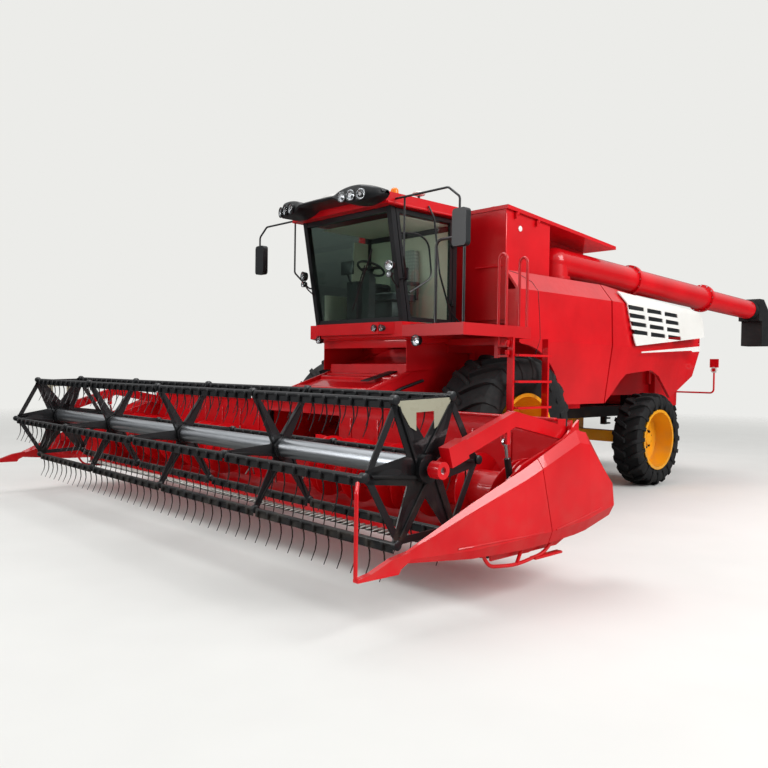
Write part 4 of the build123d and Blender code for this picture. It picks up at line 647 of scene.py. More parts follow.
def repeated(piece, step, count):
    """The piece and its copies in a row along X, made by one Array modifier."""
    return finish_with(piece, "ARRAY", count=count, use_relative_offset=False,
                       use_constant_offset=True, constant_offset_displace=(step, 0, 0))


ACROSS = Matrix.Scale(-1, 4, (1, 0, 0))  # to the same place on the machine's other side
print("helpers are ready")

# %% [markdown]
# ## Tyres
# Farm tyres carry two rows of slanted rubber bars, the lugs. The carcass is turned from rings: a
# bead that sits on the rim, a bulged wall and a flat crown. One lug is a cube that is cut along
# its length and wrapped over the crown and shoulder, and it is copied round the wheel. The tip of
# each V leads as the wheel rolls forwards. The frame's tyre is as large as the lugs' tops, so the
# crown lies a lug's depth inside it.

# %% Turn a tyre and wrap its lugs
LUG_DEPTH = 0.048
LUG_SUNK = 0.02                          # how far a lug's foot goes into the carcass


def carcass(name, centre, half, crown, bead):
    """Hollow-walled ring with beads, bulged walls and a crown."""
    wall = crown - bead
    rows = [(0.70, 0.0), (0.80, 0.06), (0.84, 0.16), (0.93, 0.30), (1.0, 0.50), (0.985, 0.70),
            (0.93, 0.86), (0.86, 0.96), (0.70, 0.995), (0.35, 1.0)]
    outer = [(share * half, bead + up * wall) for share, up in rows]
    rings = outer + [(-x, r) for x, r in outer[::-1]] + [outer[0]]
    return turned(name, rings, centre, "X", 72, closed=True)


def lug(name, centre, half, radius, side):
    """One bar from the crown's middle, slanting back to the shoulder and down over it."""
    clear_selection()
    bpy.ops.mesh.primitive_cube_add(size=1)
    piece = settle(name)
    bpy.ops.object.mode_set(mode="EDIT")
    mesh = bmesh.from_edit_mesh(piece.data)
    for edge in mesh.edges:
        edge.select = abs(edge.verts[0].co.x - edge.verts[1].co.x) > 0.5
    bpy.ops.mesh.subdivide(number_cuts=6)
    bpy.ops.object.mode_set(mode="OBJECT")
    for vertex in piece.data.vertices:
        along, across, up = vertex.co.x + 0.5, vertex.co.y, vertex.co.z + 0.5
        out = min(1.0, -0.05 + along * 1.12)
        drop = 0.13 * abs(out) ** 7 + max(0.0, along - 0.94) * 1.6
        width = (0.062 - 0.014 * up) * (1 + 0.35 * along)
        reach = radius * (1 - drop) - (LUG_DEPTH + LUG_SUNK) * (1 - up)
        round_by = (0.62 * half * along ** 0.9 + across * width) / radius
        vertex.co = (centre[0] + side * half * out * (1 - 0.012 * (1 - up)),
                     centre[1] + reach * sin(round_by), centre[2] + reach * cos(round_by))
    return piece


def fit_tyre(end, word, bars):
    """Replace one frame tyre by its carcass and lugs."""
    low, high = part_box(f"{end}_tyre_{word}")
    rim_low, rim_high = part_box(f"{end}_rim_{word}")
    centre, radius, half = (low + high) / 2, (high.z - low.z) / 2, (high.x - low.x) / 2
    bead = (rim_high.z - rim_low.z) / 2 - 0.022
    whole = carcass(f"{end}_tyre_body_{word}", centre, half - 0.012, radius - LUG_DEPTH, bead)
    parts = [whole]
    for edge in (LEFT, RIGHT):
        bar = lug("lug", centre, half, radius, edge)
        start = 0.5 * (edge == LEFT)
        turns = [turn_about(centre, -(i + start) * 2 * pi / bars, "X") for i in range(bars)]
        parts.append(copied(bar, turns))
    piece = joined(f"{end}_tyre_treaded_{word}", *parts)
    pick(piece)
    open_all()
    close_up()
    dress(piece, tyre_rubber, f"{end}_wheel_{word}", 40)
    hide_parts(f"{end}_tyre_{word}")
    return piece


for end, bars in (("front", 22), ("rear", 20)):
    for word, _ in SIDES:
        made = fit_tyre(end, word, bars)
        print(made.name, len(made.data.polygons), "faces")

# %% [markdown]
# ## Wheel bolts and hubs
# Each rim is held by a ring of hexagon bolts round its hub. One bolt is a six-sided turned head
# with a washer, and it is copied round the bolt circle.

# %% Bolt the wheels on
def wheel_bolts(end, word, side, count, circle, face):
    """Ring of bolts and a hub cap at a distance face out from the rim's middle."""
    centre = middle(f"{end}_rim_{word}")
    at = centre + Vector((side * face, 0, 0))
    head = turned("bolt", [(0, 0.027), (0.005 * side, 0.027), (0.005 * side, 0.02),
                           (0.019 * side, 0.02), (0.022 * side, 0.016)],
                  at + Vector((0, 0, circle)), "X", 6)
    ring = copied(head, [turn_about(at, i * 2 * pi / count, "X") for i in range(count)])
    dress(ring, black_enamel, f"{end}_wheel_{word}", 30)
    ring.name = f"{end}_wheel_bolts_{word}"
    rings = [(-0.02 * side, circle * 0.74), (0.03 * side, circle * 0.74),
             (0.05 * side, circle * 0.66), (0.058 * side, circle * 0.4), (0.06 * side, 0.001)]
    cap = turned(f"{end}_hub_cap_{word}", rings, at, "X", 32)
    dress(cap, yellow_enamel, f"{end}_wheel_{word}", 30)


for word, side in SIDES:
    wheel_bolts("front", word, side, 12, 0.205, 0.002)
    wheel_bolts("rear", word, side, 10, 0.128, -0.008)
print("four wheels are bolted on")

# %% [markdown]
# ## Reel tines
# Six bars carry the tines that lift the crop onto the table. Each tine is a spring finger that
# hangs from a clamp on its bar. The bars turn back as the reel turns, so the tines always hang
# down. One clamp with its tine is modelled, and an array repeats it along the bar.

# %% Hang the tines on their bars
TINE_STEP = 0.15
TINE_LENGTH = 0.225


def one_tine(at):
    """Clamp round the bar, and a finger that leaves it backwards and bends down."""
    clamp = cuboid("clamp", at + Vector((-0.016, -0.026, -0.034)),
                   at + Vector((0.016, 0.026, 0.026)), 0.007, 1)
    finger = turned("finger", [(0, 0.0065), (-0.05, 0.006), (-0.1, 0.0055), (-0.15, 0.005),
                               (-TINE_LENGTH, 0.0035)], at + Vector((0, 0, -0.02)), "Z", 6)
    for vertex in finger.data.vertices:
        drop = at.z - 0.02 - vertex.co.z
        vertex.co.y += 0.022 * sin(pi * drop / TINE_LENGTH) - 0.03 * (drop / TINE_LENGTH) ** 2
    return joined("tine", clamp, finger)


for index in range(1, 7):
    bar_low, bar_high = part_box(f"tine_bar_{index}")
    middle_of_bar = (bar_low + bar_high) / 2
    reach = (bar_high.x - bar_low.x) / 2 - 0.09
    count = int(2 * reach / TINE_STEP) + 1
    start = Vector((-TINE_STEP * (count - 1) / 2, middle_of_bar.y, middle_of_bar.z))
    tine = repeated(one_tine(start), TINE_STEP, count)
    tine.name = f"tines_{index}"
    dress(tine, black_enamel, f"tine_bar_{index}", 40)
print(count, "tines on each of six bars")

# %% [markdown]
# ## Knife
# Under the trough's front edge runs the knife. Pointed steel guards stand in front of it every
# 76 mm, and tapered knife sections show between them.

# %% Set the guards and the knife sections
knife_low, knife_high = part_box("knife_bar")
GUARD_STEP = 0.0762
guard_count = int((knife_high.x - knife_low.x - 0.06) / GUARD_STEP)
guard_at = Vector((-GUARD_STEP * (guard_count - 1) / 2, knife_low.y,
                   (knife_low.z + knife_high.z) / 2))
guard = turned("guard", [(-0.012, 0.002), (0.01, 0.009), (0.05, 0.016), (0.11, 0.018),
                         (0.125, 0.014)], guard_at, "Y", 6)
section = slab("section", [guard_at + Vector((x, y, 0.002)) for x, y in
                           ((0.008, 0.03), (0.068, 0.03), (0.074, 0.115), (0.002, 0.115))],
               (0, 0, 0.004))
guards = repeated(joined("knife_guards", guard, section), GUARD_STEP, guard_count)
dress(guards, worn_steel, "header", 30)
print(guard_count, "guards")

# %% [markdown]
# ## Header auger
# The intake auger gathers the crop to the middle. Each half carries a flight of the opposite
# hand, and between them steel fingers stand out of the drum. A flight is one radial edge, spun
# round the drum by the Screw modifier and made thick by the Solidify modifier.

# %% Wind the auger's flights
auger_low, auger_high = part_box("intake_auger")
auger_axis = middle("intake_auger")
AUGER_PITCH, FLIGHT_TURNS = 0.53, 5
DRUM_R, FLIGHT_R = 0.166, (auger_high.z - auger_low.z) / 2 - 0.004


def flight(name, side):
    """One helical flight from the drum's end towards its middle."""
    clear_selection()
    bpy.ops.mesh.primitive_plane_add(size=1)
    piece = settle(name)
    open_all()
    bpy.ops.mesh.delete(type="ONLY_FACE")
    bpy.ops.mesh.select_all(action="DESELECT")
    mesh = bmesh.from_edit_mesh(piece.data)
    for vertex in mesh.verts:
        vertex.select = vertex.co.y > 0
    mesh.select_flush(True)
    bpy.ops.mesh.delete(type="VERT")
    bpy.ops.object.mode_set(mode="OBJECT")
    for vertex, radius in zip(piece.data.vertices, (DRUM_R, FLIGHT_R)):
        vertex.co = (0, 0, radius)
    steps = 36 * FLIGHT_TURNS
    finish_with(piece, "SCREW", axis="X", screw_offset=-side * AUGER_PITCH * FLIGHT_TURNS,
                angle=2 * pi * FLIGHT_TURNS, steps=steps, render_steps=steps,
                use_merge_vertices=False)
    finish_with(piece, "SOLIDIFY", thickness=0.007, offset=0)
    start = auger_axis + Vector((side * ((auger_high.x - auger_low.x) / 2 - 0.15), 0, 0))
    piece.data.transform(Matrix.Translation(start))
    return piece


for word, side in SIDES:
    dress(flight(f"auger_flight_{word}", side), red_enamel, "auger", 30)
FINGERS, FINGER_STEP = 18, 0.082
finger = turned("finger", [(0.15, 0.0085), (0.285, 0.0085), (0.29, 0.005)], auger_axis, "Z", 10)
places = [move @ turn_about(auger_axis, index * radians(100), "X")
          for index, move in enumerate(row(-FINGER_STEP * (FINGERS - 1) / 2, FINGER_STEP, FINGERS))]
dress(copied(finger, places), worn_steel, "auger", 30).name = "auger_fingers"
print("flights", AUGER_PITCH * FLIGHT_TURNS, "m a side")

# %% [markdown]
# ## Trough wall
# The trough's back wall is stiffened by pressed upright ribs and closed by a rolled top edge.

# %% Press the ribs and roll the edge
trough_low, trough_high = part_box("header_trough")
wall_y = spot(0, -1.96, 0).y
rib = cuboid("rib", (-0.02, wall_y - 0.012, 0.66),
             (0.02, wall_y + 0.004, trough_high.z - 0.13), 0.006)
rib_places = [move for side in (LEFT, RIGHT) for move in row(side * 0.86, side * 0.42, 6)]
ribs = copied(rib, rib_places)
edge = cuboid("edge", (trough_low.x + 0.14, wall_y - 0.03, trough_high.z - 0.012),
              (trough_high.x - 0.14, wall_y + 0.02, trough_high.z + 0.012), 0.008)
dress(joined("trough_ribs", ribs, edge), red_enamel, "header", 30)
print("ribs at", len(rib_places), "places")

# %% [markdown]
# ## Reel spiders
# Each bat is held in a bearing at the tip of a spoke. The outermost spiders are closed by a
# pressed end plate with oval holes, and a grey guard plate covers the two upper arms at each end.

# %% Add the spiders' bearings and braces
BAT_R, TIP_ANGLE = 0.56, radians(62)     # the bats' distance from the axis; the first one's angle
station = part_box("tine_bar_1")[1].x - 0.015
stations = row(-station, station / 2, 5)
bearing = turned("bearing", [(-0.024, 0.026), (-0.02, 0.034), (0.02, 0.034), (0.024, 0.026)],
                 Vector((0, REEL_AXIS.y + BAT_R, REEL_AXIS.z)), "X", 20)
bearings = copied(bearing, [move @ turn_about(REEL_AXIS, TIP_ANGLE + i * pi / 3, "X")
                            for move in stations for i in range(6)])
dress(bearings, black_abs, "reel_rotor", 30).name = "bat_bearings"


def spoke_brace(angle):
    """Folded brace that runs from the hub to the chord between two bats."""
    first, second = (Vector((0, cos(a), sin(a))) for a in (angle, angle + pi / 3))
    across = (first - second).normalized() * 0.016
    centre = Vector((0, REEL_AXIS.y, REEL_AXIS.z))
    root, tip = (first + second) * 0.06, first * 0.5
    outline = [centre + root + across, centre + root - across, centre + tip - across * 0.7,
               centre + tip + across * 0.7]
    return slab("brace", [Vector((-0.02, p.y, p.z)) for p in outline], (0.04, 0, 0), 0.003, 1)


braces = [spoke_brace(TIP_ANGLE + i * pi / 3) for i in range(6)]
collar = turned("collar", [(-0.045, 0.086), (-0.045, 0.1), (0.045, 0.1), (0.045, 0.086)],
                (0, REEL_AXIS.y, REEL_AXIS.z), "X", 32)
spider = joined("spider", *braces, collar)
spiders = copied(spider, stations)
dress(spiders, black_enamel, "reel_rotor", 30).name = "reel_spiders"
print(len(stations), "spiders")

# %% [markdown]
# ## More helpers
# Three more shapes are needed: a skin laid over rings of points, a bent round bar, and a round
# lamp of a cup, a bright bowl and a domed lens.

# %% Write the skin, bar and lamp helpers
def lofted(name, sections):
    """Skin over rings of points, closed at both ends."""
    across, along = len(sections[0]), len(sections)
    clear_selection()
    bpy.ops.mesh.primitive_grid_add(x_subdivisions=across, y_subdivisions=along - 1)
    piece = settle(name)
    for index, vertex in enumerate(piece.data.vertices):
        level, column = divmod(index, across + 1)
        vertex.co = sections[level][column % across]
    open_all()
    bpy.ops.mesh.remove_doubles(threshold=POINT_R)
    bpy.ops.mesh.fill_holes(sides=0)
    close_up()
    return piece


def pipe(name, points, radius, bend=0.06):
    """Round bar through points with bent corners."""
    points = [Vector(point) for point in points]
    path = [points[0]]
    for before, corner, after in zip(points, points[1:], points[2:]):
        reach = min(bend, (before - corner).length * 0.45, (after - corner).length * 0.45)
        start = corner + (before - corner).normalized() * reach
        end = corner + (after - corner).normalized() * reach
        path += [start.lerp(corner, t).lerp(corner.lerp(end, t), t)
                 for t in (0, 0.25, 0.5, 0.75, 1)]
    path.append(points[-1])
    curve = bpy.data.curves.new(name, "CURVE")
    curve.dimensions, curve.bevel_depth, curve.bevel_resolution = "3D", radius, 2
    curve.use_fill_caps = True
    line = curve.splines.new("POLY")
    line.points.add(len(path) - 1)
    for knot, place in zip(line.points, path):
        knot.co = (*place, 1)
    piece = bpy.data.objects.new(name, curve)
    bpy.context.scene.collection.objects.link(piece)
    pick(piece)
    bpy.ops.object.convert(target="MESH")
    return bpy.context.object


def lamps(name, places, body):
    """Round lamps at (centre, radius, direction): black cups, bright bowls and clear lenses."""
    made = {"cup": [], "bowl": [], "lens": []}
    for at, r, towards in places:
        shapes = {
            "cup": [(0.06, 0.003), (0.05, r), (-0.006, r * 1.16), (-0.006, r * 1.04), (0.03, r),
                    (0.03, POINT_R)],
            "bowl": [(0.029, 0.003), (0.026, r * 0.6), (0.002, r * 0.99), (0, r * 0.9),
                     (0.02, r * 0.5), (0.024, POINT_R)],
            "lens": [(-0.013, 0.003), (-0.011, r * 0.45), (-0.005, r * 0.82), (0, r * 0.98),
                     (0.001, POINT_R)],
        }
        turn = Vector((0, -1, 0)).rotation_difference(Vector(towards)).to_matrix().to_4x4()
        for part, rings in shapes.items():
            shape = turned(part, rings, (0, 0, 0), "Y", 24)
            shape.data.transform(Matrix.Translation(at) @ turn)
            made[part].append(shape)
    for part, finish, slot in (("cup", black_abs, "black_plastic"), ("bowl", lamp_bowl, "chrome"),
                               ("lens", clear_lens, "glass")):
        dress(joined(f"{name}_{part}", *made[part]), finish, body, 40)


print("skin, bar and lamp helpers are ready")

# %% [markdown]
# ## Roof visor and lamps
# The visor is one moulding. It is low over the middle of the screen, and rises at each end into a
# lobe that holds three round work lamps. Its front face leans back.

# %% Mould the visor
def along_line(steps, x):
    """Height at x of a bent line through steps, each an (x, height), level past its last step."""
    for (x0, y0), (x1, y1) in zip(steps, steps[1:]):
        if x <= x1:
            return y0 + (y1 - y0) * (x - x0) / (x1 - x0)
    return steps[-1][1]


def visor_edge(x):
    """Y of the visor's front edge at x, negative in front of the front axle."""
    return along_line(((0.0, -1.815), (0.3, -1.805), (0.7, -1.755), (0.86, -1.66),
                       (0.915, -1.56)), abs(x))


def visor_section(x):
    """Ring of points round the visor at x."""
    lobe = max(0.0, 1 - ((abs(x) - 0.62) / 0.3) ** 2) ** 0.8 if 0.32 < abs(x) < 0.92 else 0.0
    front, top, low = visor_edge(x), 3.618 + 0.072 * lobe, 3.572 - 0.075 * lobe
    end = 0.02 if abs(x) > 0.9 else 0.0
    return profile(x, ((-1.49, low + end), (front + 0.01, low + end), (front - 0.005, low + 0.02),
                       (front + 0.004, top - 0.03), (front + 0.022, top - 0.006),
                       (front + 0.05, top), (-1.6, top - 0.004 - end), (-1.49, top - 0.02 - end)))


VISOR_HALF, VISOR_STEPS = 0.915, 60
visor_x = [-VISOR_HALF + 2 * VISOR_HALF * i / VISOR_STEPS for i in range(VISOR_STEPS + 1)]
visor = lofted("sculpted_roof_visor", [visor_section(x) for x in visor_x])
dress(visor, black_abs, "machine", 40)
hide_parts("roof_visor")
work_lamps = [(spot(side * x, visor_edge(x) - 0.024, 3.572), 0.056, (side * lean, -1, -0.05))
              for side in (LEFT, RIGHT) for x, lean in ((0.475, 0.1), (0.605, 0.16), (0.735, 0.25))]
lamps("work_lamp", work_lamps, "machine")
print("visor has", len(visor.data.polygons), "faces and", len(work_lamps), "lamps")

# %% [markdown]
# ## Roof top
# The roof carries a pale domed cover over the air intake. An amber beacon on a black base and a
# pale aerial on a short stem stand on it, and a rolled gutter edges it at the sides and the rear.

# %% Set the beacon, aerial and dome
amber_moulding = moulded("moulded_amber_lens", "FF8F14", "F07A08", 0.22, 9)
pale_moulding = moulded("moulded_pale_shell", "DCDCD8", "D0D0CB", 0.35, 9)
beacon_at, aerial_at = spot(0.56, -1.08, 0), spot(0.64, -0.76, 0)
base = turned("beacon_base", [(3.628, 0.062), (3.672, 0.058), (3.68, 0.03)], beacon_at, "Z", 28)
stem = turned("aerial_stem", [(3.628, 0.05), (3.64, 0.02), (3.745, 0.014)], aerial_at, "Z", 20)
dress(joined("roof_mounts", base, stem), black_abs, "machine", 40)
beacon = turned("beacon_lens", [(3.681, 0.046), (3.745, 0.046), (3.766, 0.038), (3.778, 0.02),
                                (3.779, POINT_R)], beacon_at, "Z", 28)
dress(beacon, amber_moulding, "machine", 50)
aerial = turned("aerial", [(3.722, 0.03), (3.735, 0.07), (3.752, 0.078), (3.772, 0.06),
                           (3.779, 0.02), (3.78, POINT_R)], aerial_at, "Z", 32)
dome = turned("dome", [(3.625, 0.3), (3.68, 0.29), (3.73, 0.23), (3.762, 0.13), (3.77, POINT_R)],
              spot(-0.12, -1.3, 0), "Z", 48)
domes = dress(joined("roof_domes", aerial, dome), pale_moulding, "machine", 60)
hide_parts("roof_lamps")
gutter = pipe("roof_gutter", [spot(x, y, 3.512) for x, y in ((0.868, -1.48), (0.868, -0.222),
                                                             (-0.868, -0.222), (-0.868, -1.48))],
              0.014)
dress(gutter, red_enamel, "machine", 40)

# %% [markdown]
# ## Cab bars and side lamps
# A long black guard bar runs from the roof past the door to the deck. A round-cornered bar crosses
# the door's glass inside. Twin lamps stand one above the other at each screen post, four more
# face forwards at the foot of the cab and the deck, and the wiper rests on the screen.

# %% Bend the cab bars
screen_foot, screen_head = spot(0, -1.165, 2.26), spot(0, -1.392, 3.46)


def on_screen(x, share):
    """Point a little in front of the screen."""
    return screen_foot.lerp(screen_head, share) + Vector((x, -0.012, 0))


door_bar = pipe("door_bar", profile(0.772, ((-1.17, 3.22), (-0.9, 3.25), (-0.72, 3.17),
                                            (-0.66, 2.76), (-1.03, 2.56))), 0.012, 0.09)
dress(door_bar, black_enamel, "door", 40)
bars = [pipe("guard", [spot(0.872, -0.83, 3.56), spot(0.99, -0.86, 3.4), spot(1.1, -0.88, 2.77),
                       spot(1.1, -0.69, 2.34), spot(1.1, -0.44, 2.175)], 0.011),
        pipe("wiper", [on_screen(0.05, 0.02), on_screen(0.12, 0.3), on_screen(0.3, 0.52)],
             0.007, 0.03),
        pipe("blade", [on_screen(-0.02, 0.1), on_screen(0.46, 0.66)], 0.009, 0.01)]
for side in (LEFT, RIGHT):
    bars.append(pipe("lamp_arm", [spot(side * 0.765, -1.2, 2.6), spot(side * 0.79, -1.33, 2.7),
                                  spot(side * 0.79, -1.345, 2.88)], 0.009))
dress(joined("cab_bars", *bars), black_enamel, "machine", 40)
lamps("side_lamp", [(spot(side * 0.79, -1.372, z), r, (side * 0.2, -1, 0)) for side in (LEFT, RIGHT)
                    for z, r in ((2.835, 0.052), (2.735, 0.032))], "machine")
lamps("deck_lamp", [(spot(x, y, z), r, (0, -1, 0)) for x, y, z, r in
                    ((1.06, -1.205, 2.0, 0.056), (-0.66, -1.21, 2.035, 0.042),
                     (0.5, -1.326, 2.147, 0.034), (0.6, -1.305, 2.147, 0.034))], "machine")
print("bars and lamps are on the cab")

# %% [markdown]
# ## Inside the cab
# Beige moulded panels line the cab's back, right wall and ceiling, a dark mat covers its floor,
# and a screen stands beside the wheel. The seat is upholstered foam on a suspension box: a
# crowned cushion and a back, each a closed form that swells between its seams.

# %% Upholster the seat
def cushion(name, low, high, crown, axis):
    """Crowned foam block: its sides pull in between the corners, its face has sewn channels."""
    clear_selection()
    bpy.ops.mesh.primitive_cube_add(size=1)
    piece = settle(name)
    open_all()
    bpy.ops.mesh.subdivide(number_cuts=15)
    bpy.ops.object.mode_set(mode="OBJECT")
    centre, size = (low + high) / 2, high - low
    flat = [i for i in range(3) if i != axis]
    for vertex in piece.data.vertices:
        u = [2 * c for c in vertex.co]
        across, along = u[flat[0]], u[flat[1]]
        swell = (1 - across ** 2) * (1 - along ** 2)
        groove = 0.006 * sum(max(0.0, 1 - abs(across - seam) / 0.09) for seam in (-0.5, 0.5))
        pull = 1 - 0.035 * (1 - (u[axis]) ** 2) - 0.03 * (abs(across * along) ** 6)
        out = [0.0] * 3
        out[flat[0]], out[flat[1]] = across * pull, along * pull
        out[axis] = u[axis] * (1 - 0.18 * max(abs(across), abs(along)) ** 5)
        push = (crown * swell - groove) * (1 if u[axis] > 0 else 0.15) * abs(u[axis])
        vertex.co = [centre[i] + out[i] * size[i] / 2 for i in range(3)]
        vertex.co[axis] += push if u[axis] > 0 else -push
    finish_with(piece, "SUBSURF", levels=1, render_levels=1)
    return piece


CAB_FLOOR, SEAT_TOP, BACK_TOP = 2.22, 0.4, 0.97     # the last two above the cab's floor


def on_floor(x, y, z):
    """Point z above the cab's floor."""
    return spot(x, y, CAB_FLOOR + z)


seat_foam = cushion("seat_cushion", on_floor(-0.235, -0.785, 0.305),
                    on_floor(0.235, -0.355, SEAT_TOP), 0.022, 2)
dress(seat_foam, seat_cloth, "machine", 60)
pale_cloth = woven("woven_pale_cloth", "C6C8C4", "A9ABA8")
back_foam = cushion("seat_back", on_floor(-0.225, -0.375, SEAT_TOP),
                    on_floor(0.225, -0.29, BACK_TOP), 0.0, 1)
for vertex in back_foam.data.vertices:
    up = (vertex.co.z - CAB_FLOOR - SEAT_TOP) / (BACK_TOP - SEAT_TOP)
    vertex.co.x *= 1 - 0.28 * max(0.0, up - 0.55)
    vertex.co.y -= 0.02 * sin(pi * min(1.0, max(0.0, up)))
dress(back_foam, pale_cloth, "machine", 60)
seat_box = cuboid("box", on_floor(-0.17, -0.72, 0), on_floor(0.17, -0.4, 0.3), 0.02)
arms = [cuboid("arm", on_floor(x - 0.03, -0.72, 0.5), on_floor(x + 0.03, -0.36, 0.55), 0.02)
        for x in (0.27, -0.27)]
links = [cuboid("link", on_floor(x - 0.015, -0.4, 0.33), on_floor(x + 0.015, -0.36, 0.53), 0.008)
         for x in (0.25, -0.25)]
seat_frame = joined("seat_suspension_box", seat_box, *arms, *links)
dress(seat_frame, dark_trim, "machine", 40)
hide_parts("driver_seat")
print("seat has", len(seat_foam.data.polygons) + len(back_foam.data.polygons), "faces")

# %% Line the cab
back_panel = cuboid("back_panel", spot(-0.7, -0.2895, 2.26), spot(0.7, -0.2815, 3.36), 0.003)
side_panel = slab("side_panel", profile(-0.745, ((-1.05, 2.26), (-0.29, 2.26), (-0.29, 3.36),
                                                 (-0.56, 3.36), (-0.62, 2.62), (-1.05, 2.62))),
                  (0.01, 0, 0))
head_panel = cuboid("head_panel", spot(-0.7, -1.12, 3.425), spot(0.7, -0.3, 3.44), 0.005)
lining = joined("cab_lining", back_panel, side_panel, head_panel)
dress(lining, cab_trim, "machine", 40)
mat = cuboid("mat", spot(-0.7, -1.08, 2.2205), spot(0.7, -0.29, 2.228), 0.002)
screen = cuboid("screen", spot(-0.5, -0.99, 2.86), spot(-0.27, -0.96, 3.03), 0.01)
post = pipe("screen_post", profile(-0.385, ((-0.975, 2.87), (-0.9, 2.74), (-0.72, 2.72))), 0.012)
mat_and_screen = joined("cab_mat_and_screen", mat, screen, post)
dress(mat_and_screen, dark_trim, "machine", 40)
print("cab is lined")

# %% [markdown]
# ## White upper panels
# The rear side panels carry a white louvred cover over their upper half, with a white stripe
# below it. The cover follows the panel's curve. Twelve slanted slots in four rows are cut through
# it, and a dark backing shows behind them.

# %% Cut the louvred covers
def skin_x(z):
    """Distance of the side panels' outer face from the middle at a height."""
    return along_line(((1.24, 1.47), (2.04, 1.58), (2.64, 1.56), (2.87, 1.38)), z)


def cover_point(s, t, out):
    """Point on the white cover, s from front to rear and t from bottom to top."""
    front = 2.65 - 0.29 * t ** 0.8
    rear = 4.785 - 0.03 * t - 0.2 * t ** 6
    y = front + (rear - front) * s
    low, high = 2.055 + 0.092 * (y - 2.65), 2.8 - 0.071 * (y - 2.36)
    z = low + (high - low) * t
    return spot(skin_x(z) + out, y, z)


def plate_over(name, across, along, place, thick):
    """Thin plate whose points are place(s, t), thickened outwards."""
    clear_selection()
    bpy.ops.mesh.primitive_grid_add(x_subdivisions=across, y_subdivisions=along)
    piece = settle(name)
    for index, vertex in enumerate(piece.data.vertices):
        level, column = divmod(index, across + 1)
        vertex.co = place(column / across, level / along)
    return finish_with(piece, "SOLIDIFY", thickness=thick, offset=1)


cover = plate_over("white_louvred_cover", 24, 14, lambda s, t: cover_point(s, t, 0.002), 0.014)
slots = []
for tier in range(4):
    z, shift = 2.585 - 0.112 * tier, 0.035 * tier
    for start, end in ((2.42, 2.86), (2.96, 3.38), (3.48, 3.88)):
        z_here = z - 0.03 * (start - 2.42)
        lean = 0.03 if start < 2.5 else 0.0
        outline = ((start + shift, z_here + 0.033), (end + shift, z_here + 0.02),
                   (end + shift + 0.012, z_here - 0.036), (start + shift + lean, z_here - 0.03))
        slots.append(slab("slot", profile(1.5, outline), (0.2, 0, 0)))
cutter = joined("slots", *slots)
finish_with(cover, "BOOLEAN", object=cutter, operation="DIFFERENCE", solver="EXACT")
bpy.data.objects.remove(cutter)
backing = plate_over("louvre_backing", 12, 8,
                     lambda s, t: cover_point(0.03 + 0.6 * s, 0.12 + 0.74 * t, 0.0005), 0.004)


def stripe_point(s, t):
    """Point on the stripe, which widens to the rear."""
    y = 2.83 + 1.83 * s
    step = 0.022 if s > 0.86 else 0.0
    z = 1.962 + 0.09 * s - step + (0.018 + 0.042 * s + step) * t
    return spot(skin_x(z) + 0.001, y, z)


stripe = plate_over("white_stripe", 36, 2, stripe_point, 0.004)
for piece, finish, slot in ((cover, white_enamel, "white_paint"),
                            (backing, black_abs, "black_plastic"),
                            (stripe, white_enamel, "white_paint")):
    dress(piece, finish, "rear_panel_left", 30)
    dress(twin(piece, piece.name + "_right", ACROSS), finish, "rear_panel_right", 30)
print("cover has", len(cover.data.polygons), "faces after the slots are cut")

# %% [markdown]
# ## Reel end plates
# Each end of the reel is a pressed star plate with one broad arm to each bat and an oval hole in
# each arm. A grey-beige plate with a notch closes the space between the two upper arms.

# %% Press the star plates
HOLE_REACH, HOLE_STRETCH = 0.335, 3.4    # a hole's distance from the axis, and how oval it is


def round_reel(x, places):
    """Points at x, each place an (angle, distance) about the reel's axis."""
    centre = Vector((x, REEL_AXIS.y, REEL_AXIS.z))
    return [centre + Vector((0, cos(angle), sin(angle))) * reach for angle, reach in places]


def star_plate(name, x):
    """Star with six arms and six oval holes."""
    centre = Vector((x, REEL_AXIS.y, REEL_AXIS.z))
    arms = [TIP_ANGLE + index * pi / 3 for index in range(6)]
    plate = slab(name, round_reel(x, [(angle + turn, reach) for angle in arms for turn, reach in
                                      ((-0.085, 0.545), (0.085, 0.545), (pi / 6, 0.2))]),
                 (0.012, 0, 0))
    hole_at = centre + Vector((0, HOLE_REACH, 0))
    hole = turned("holes", [(-0.05, 0.032), (0.05, 0.032)], hole_at, "X", 24)
    for vertex in hole.data.vertices:
        vertex.co.y = hole_at.y + (vertex.co.y - hole_at.y) * HOLE_STRETCH
    holes = copied(hole, [turn_about(centre, angle, "X") for angle in arms])
    finish_with(plate, "BOOLEAN", object=holes, operation="DIFFERENCE", solver="EXACT")
    bpy.data.objects.remove(holes)
    return plate


def guard_plate(name, x):
    """Notched plate between the two upper arms."""
    first, second = TIP_ANGLE, TIP_ANGLE + pi / 3
    outline = ((first, 0.55), (second, 0.55), (second - 0.06, 0.33), (second - 0.2, 0.28),
               (second - 0.3, 0.4), (first + 0.3, 0.4), (first + 0.2, 0.28), (first + 0.06, 0.33))
    return slab(name, round_reel(x, outline), (0.005, 0, 0))


plates = [star_plate("plate", side * station - 0.006) for side in (LEFT, RIGHT)]
dress(joined("reel_star_plates", *plates), black_enamel, "reel_rotor", 30)
guards = [guard_plate("guard", side * (station + 0.01) - 0.0025) for side in (LEFT, RIGHT)]
dress(joined("reel_guard_plates", *guards), grey_enamel, "reel_rotor", 30)
print("reel ends are closed")

# %% [markdown]
# ## Feeder house
# Pressed ribs cross the feeder house, a rubber flap lies over its left edge, and a thick black
# hydraulic line runs down its side. A red throat hangs under the cab floor, and a plate on the
# feeder house rises behind its front as the header lifts. Rubber seals close the slot beside the
# trough's mouth.

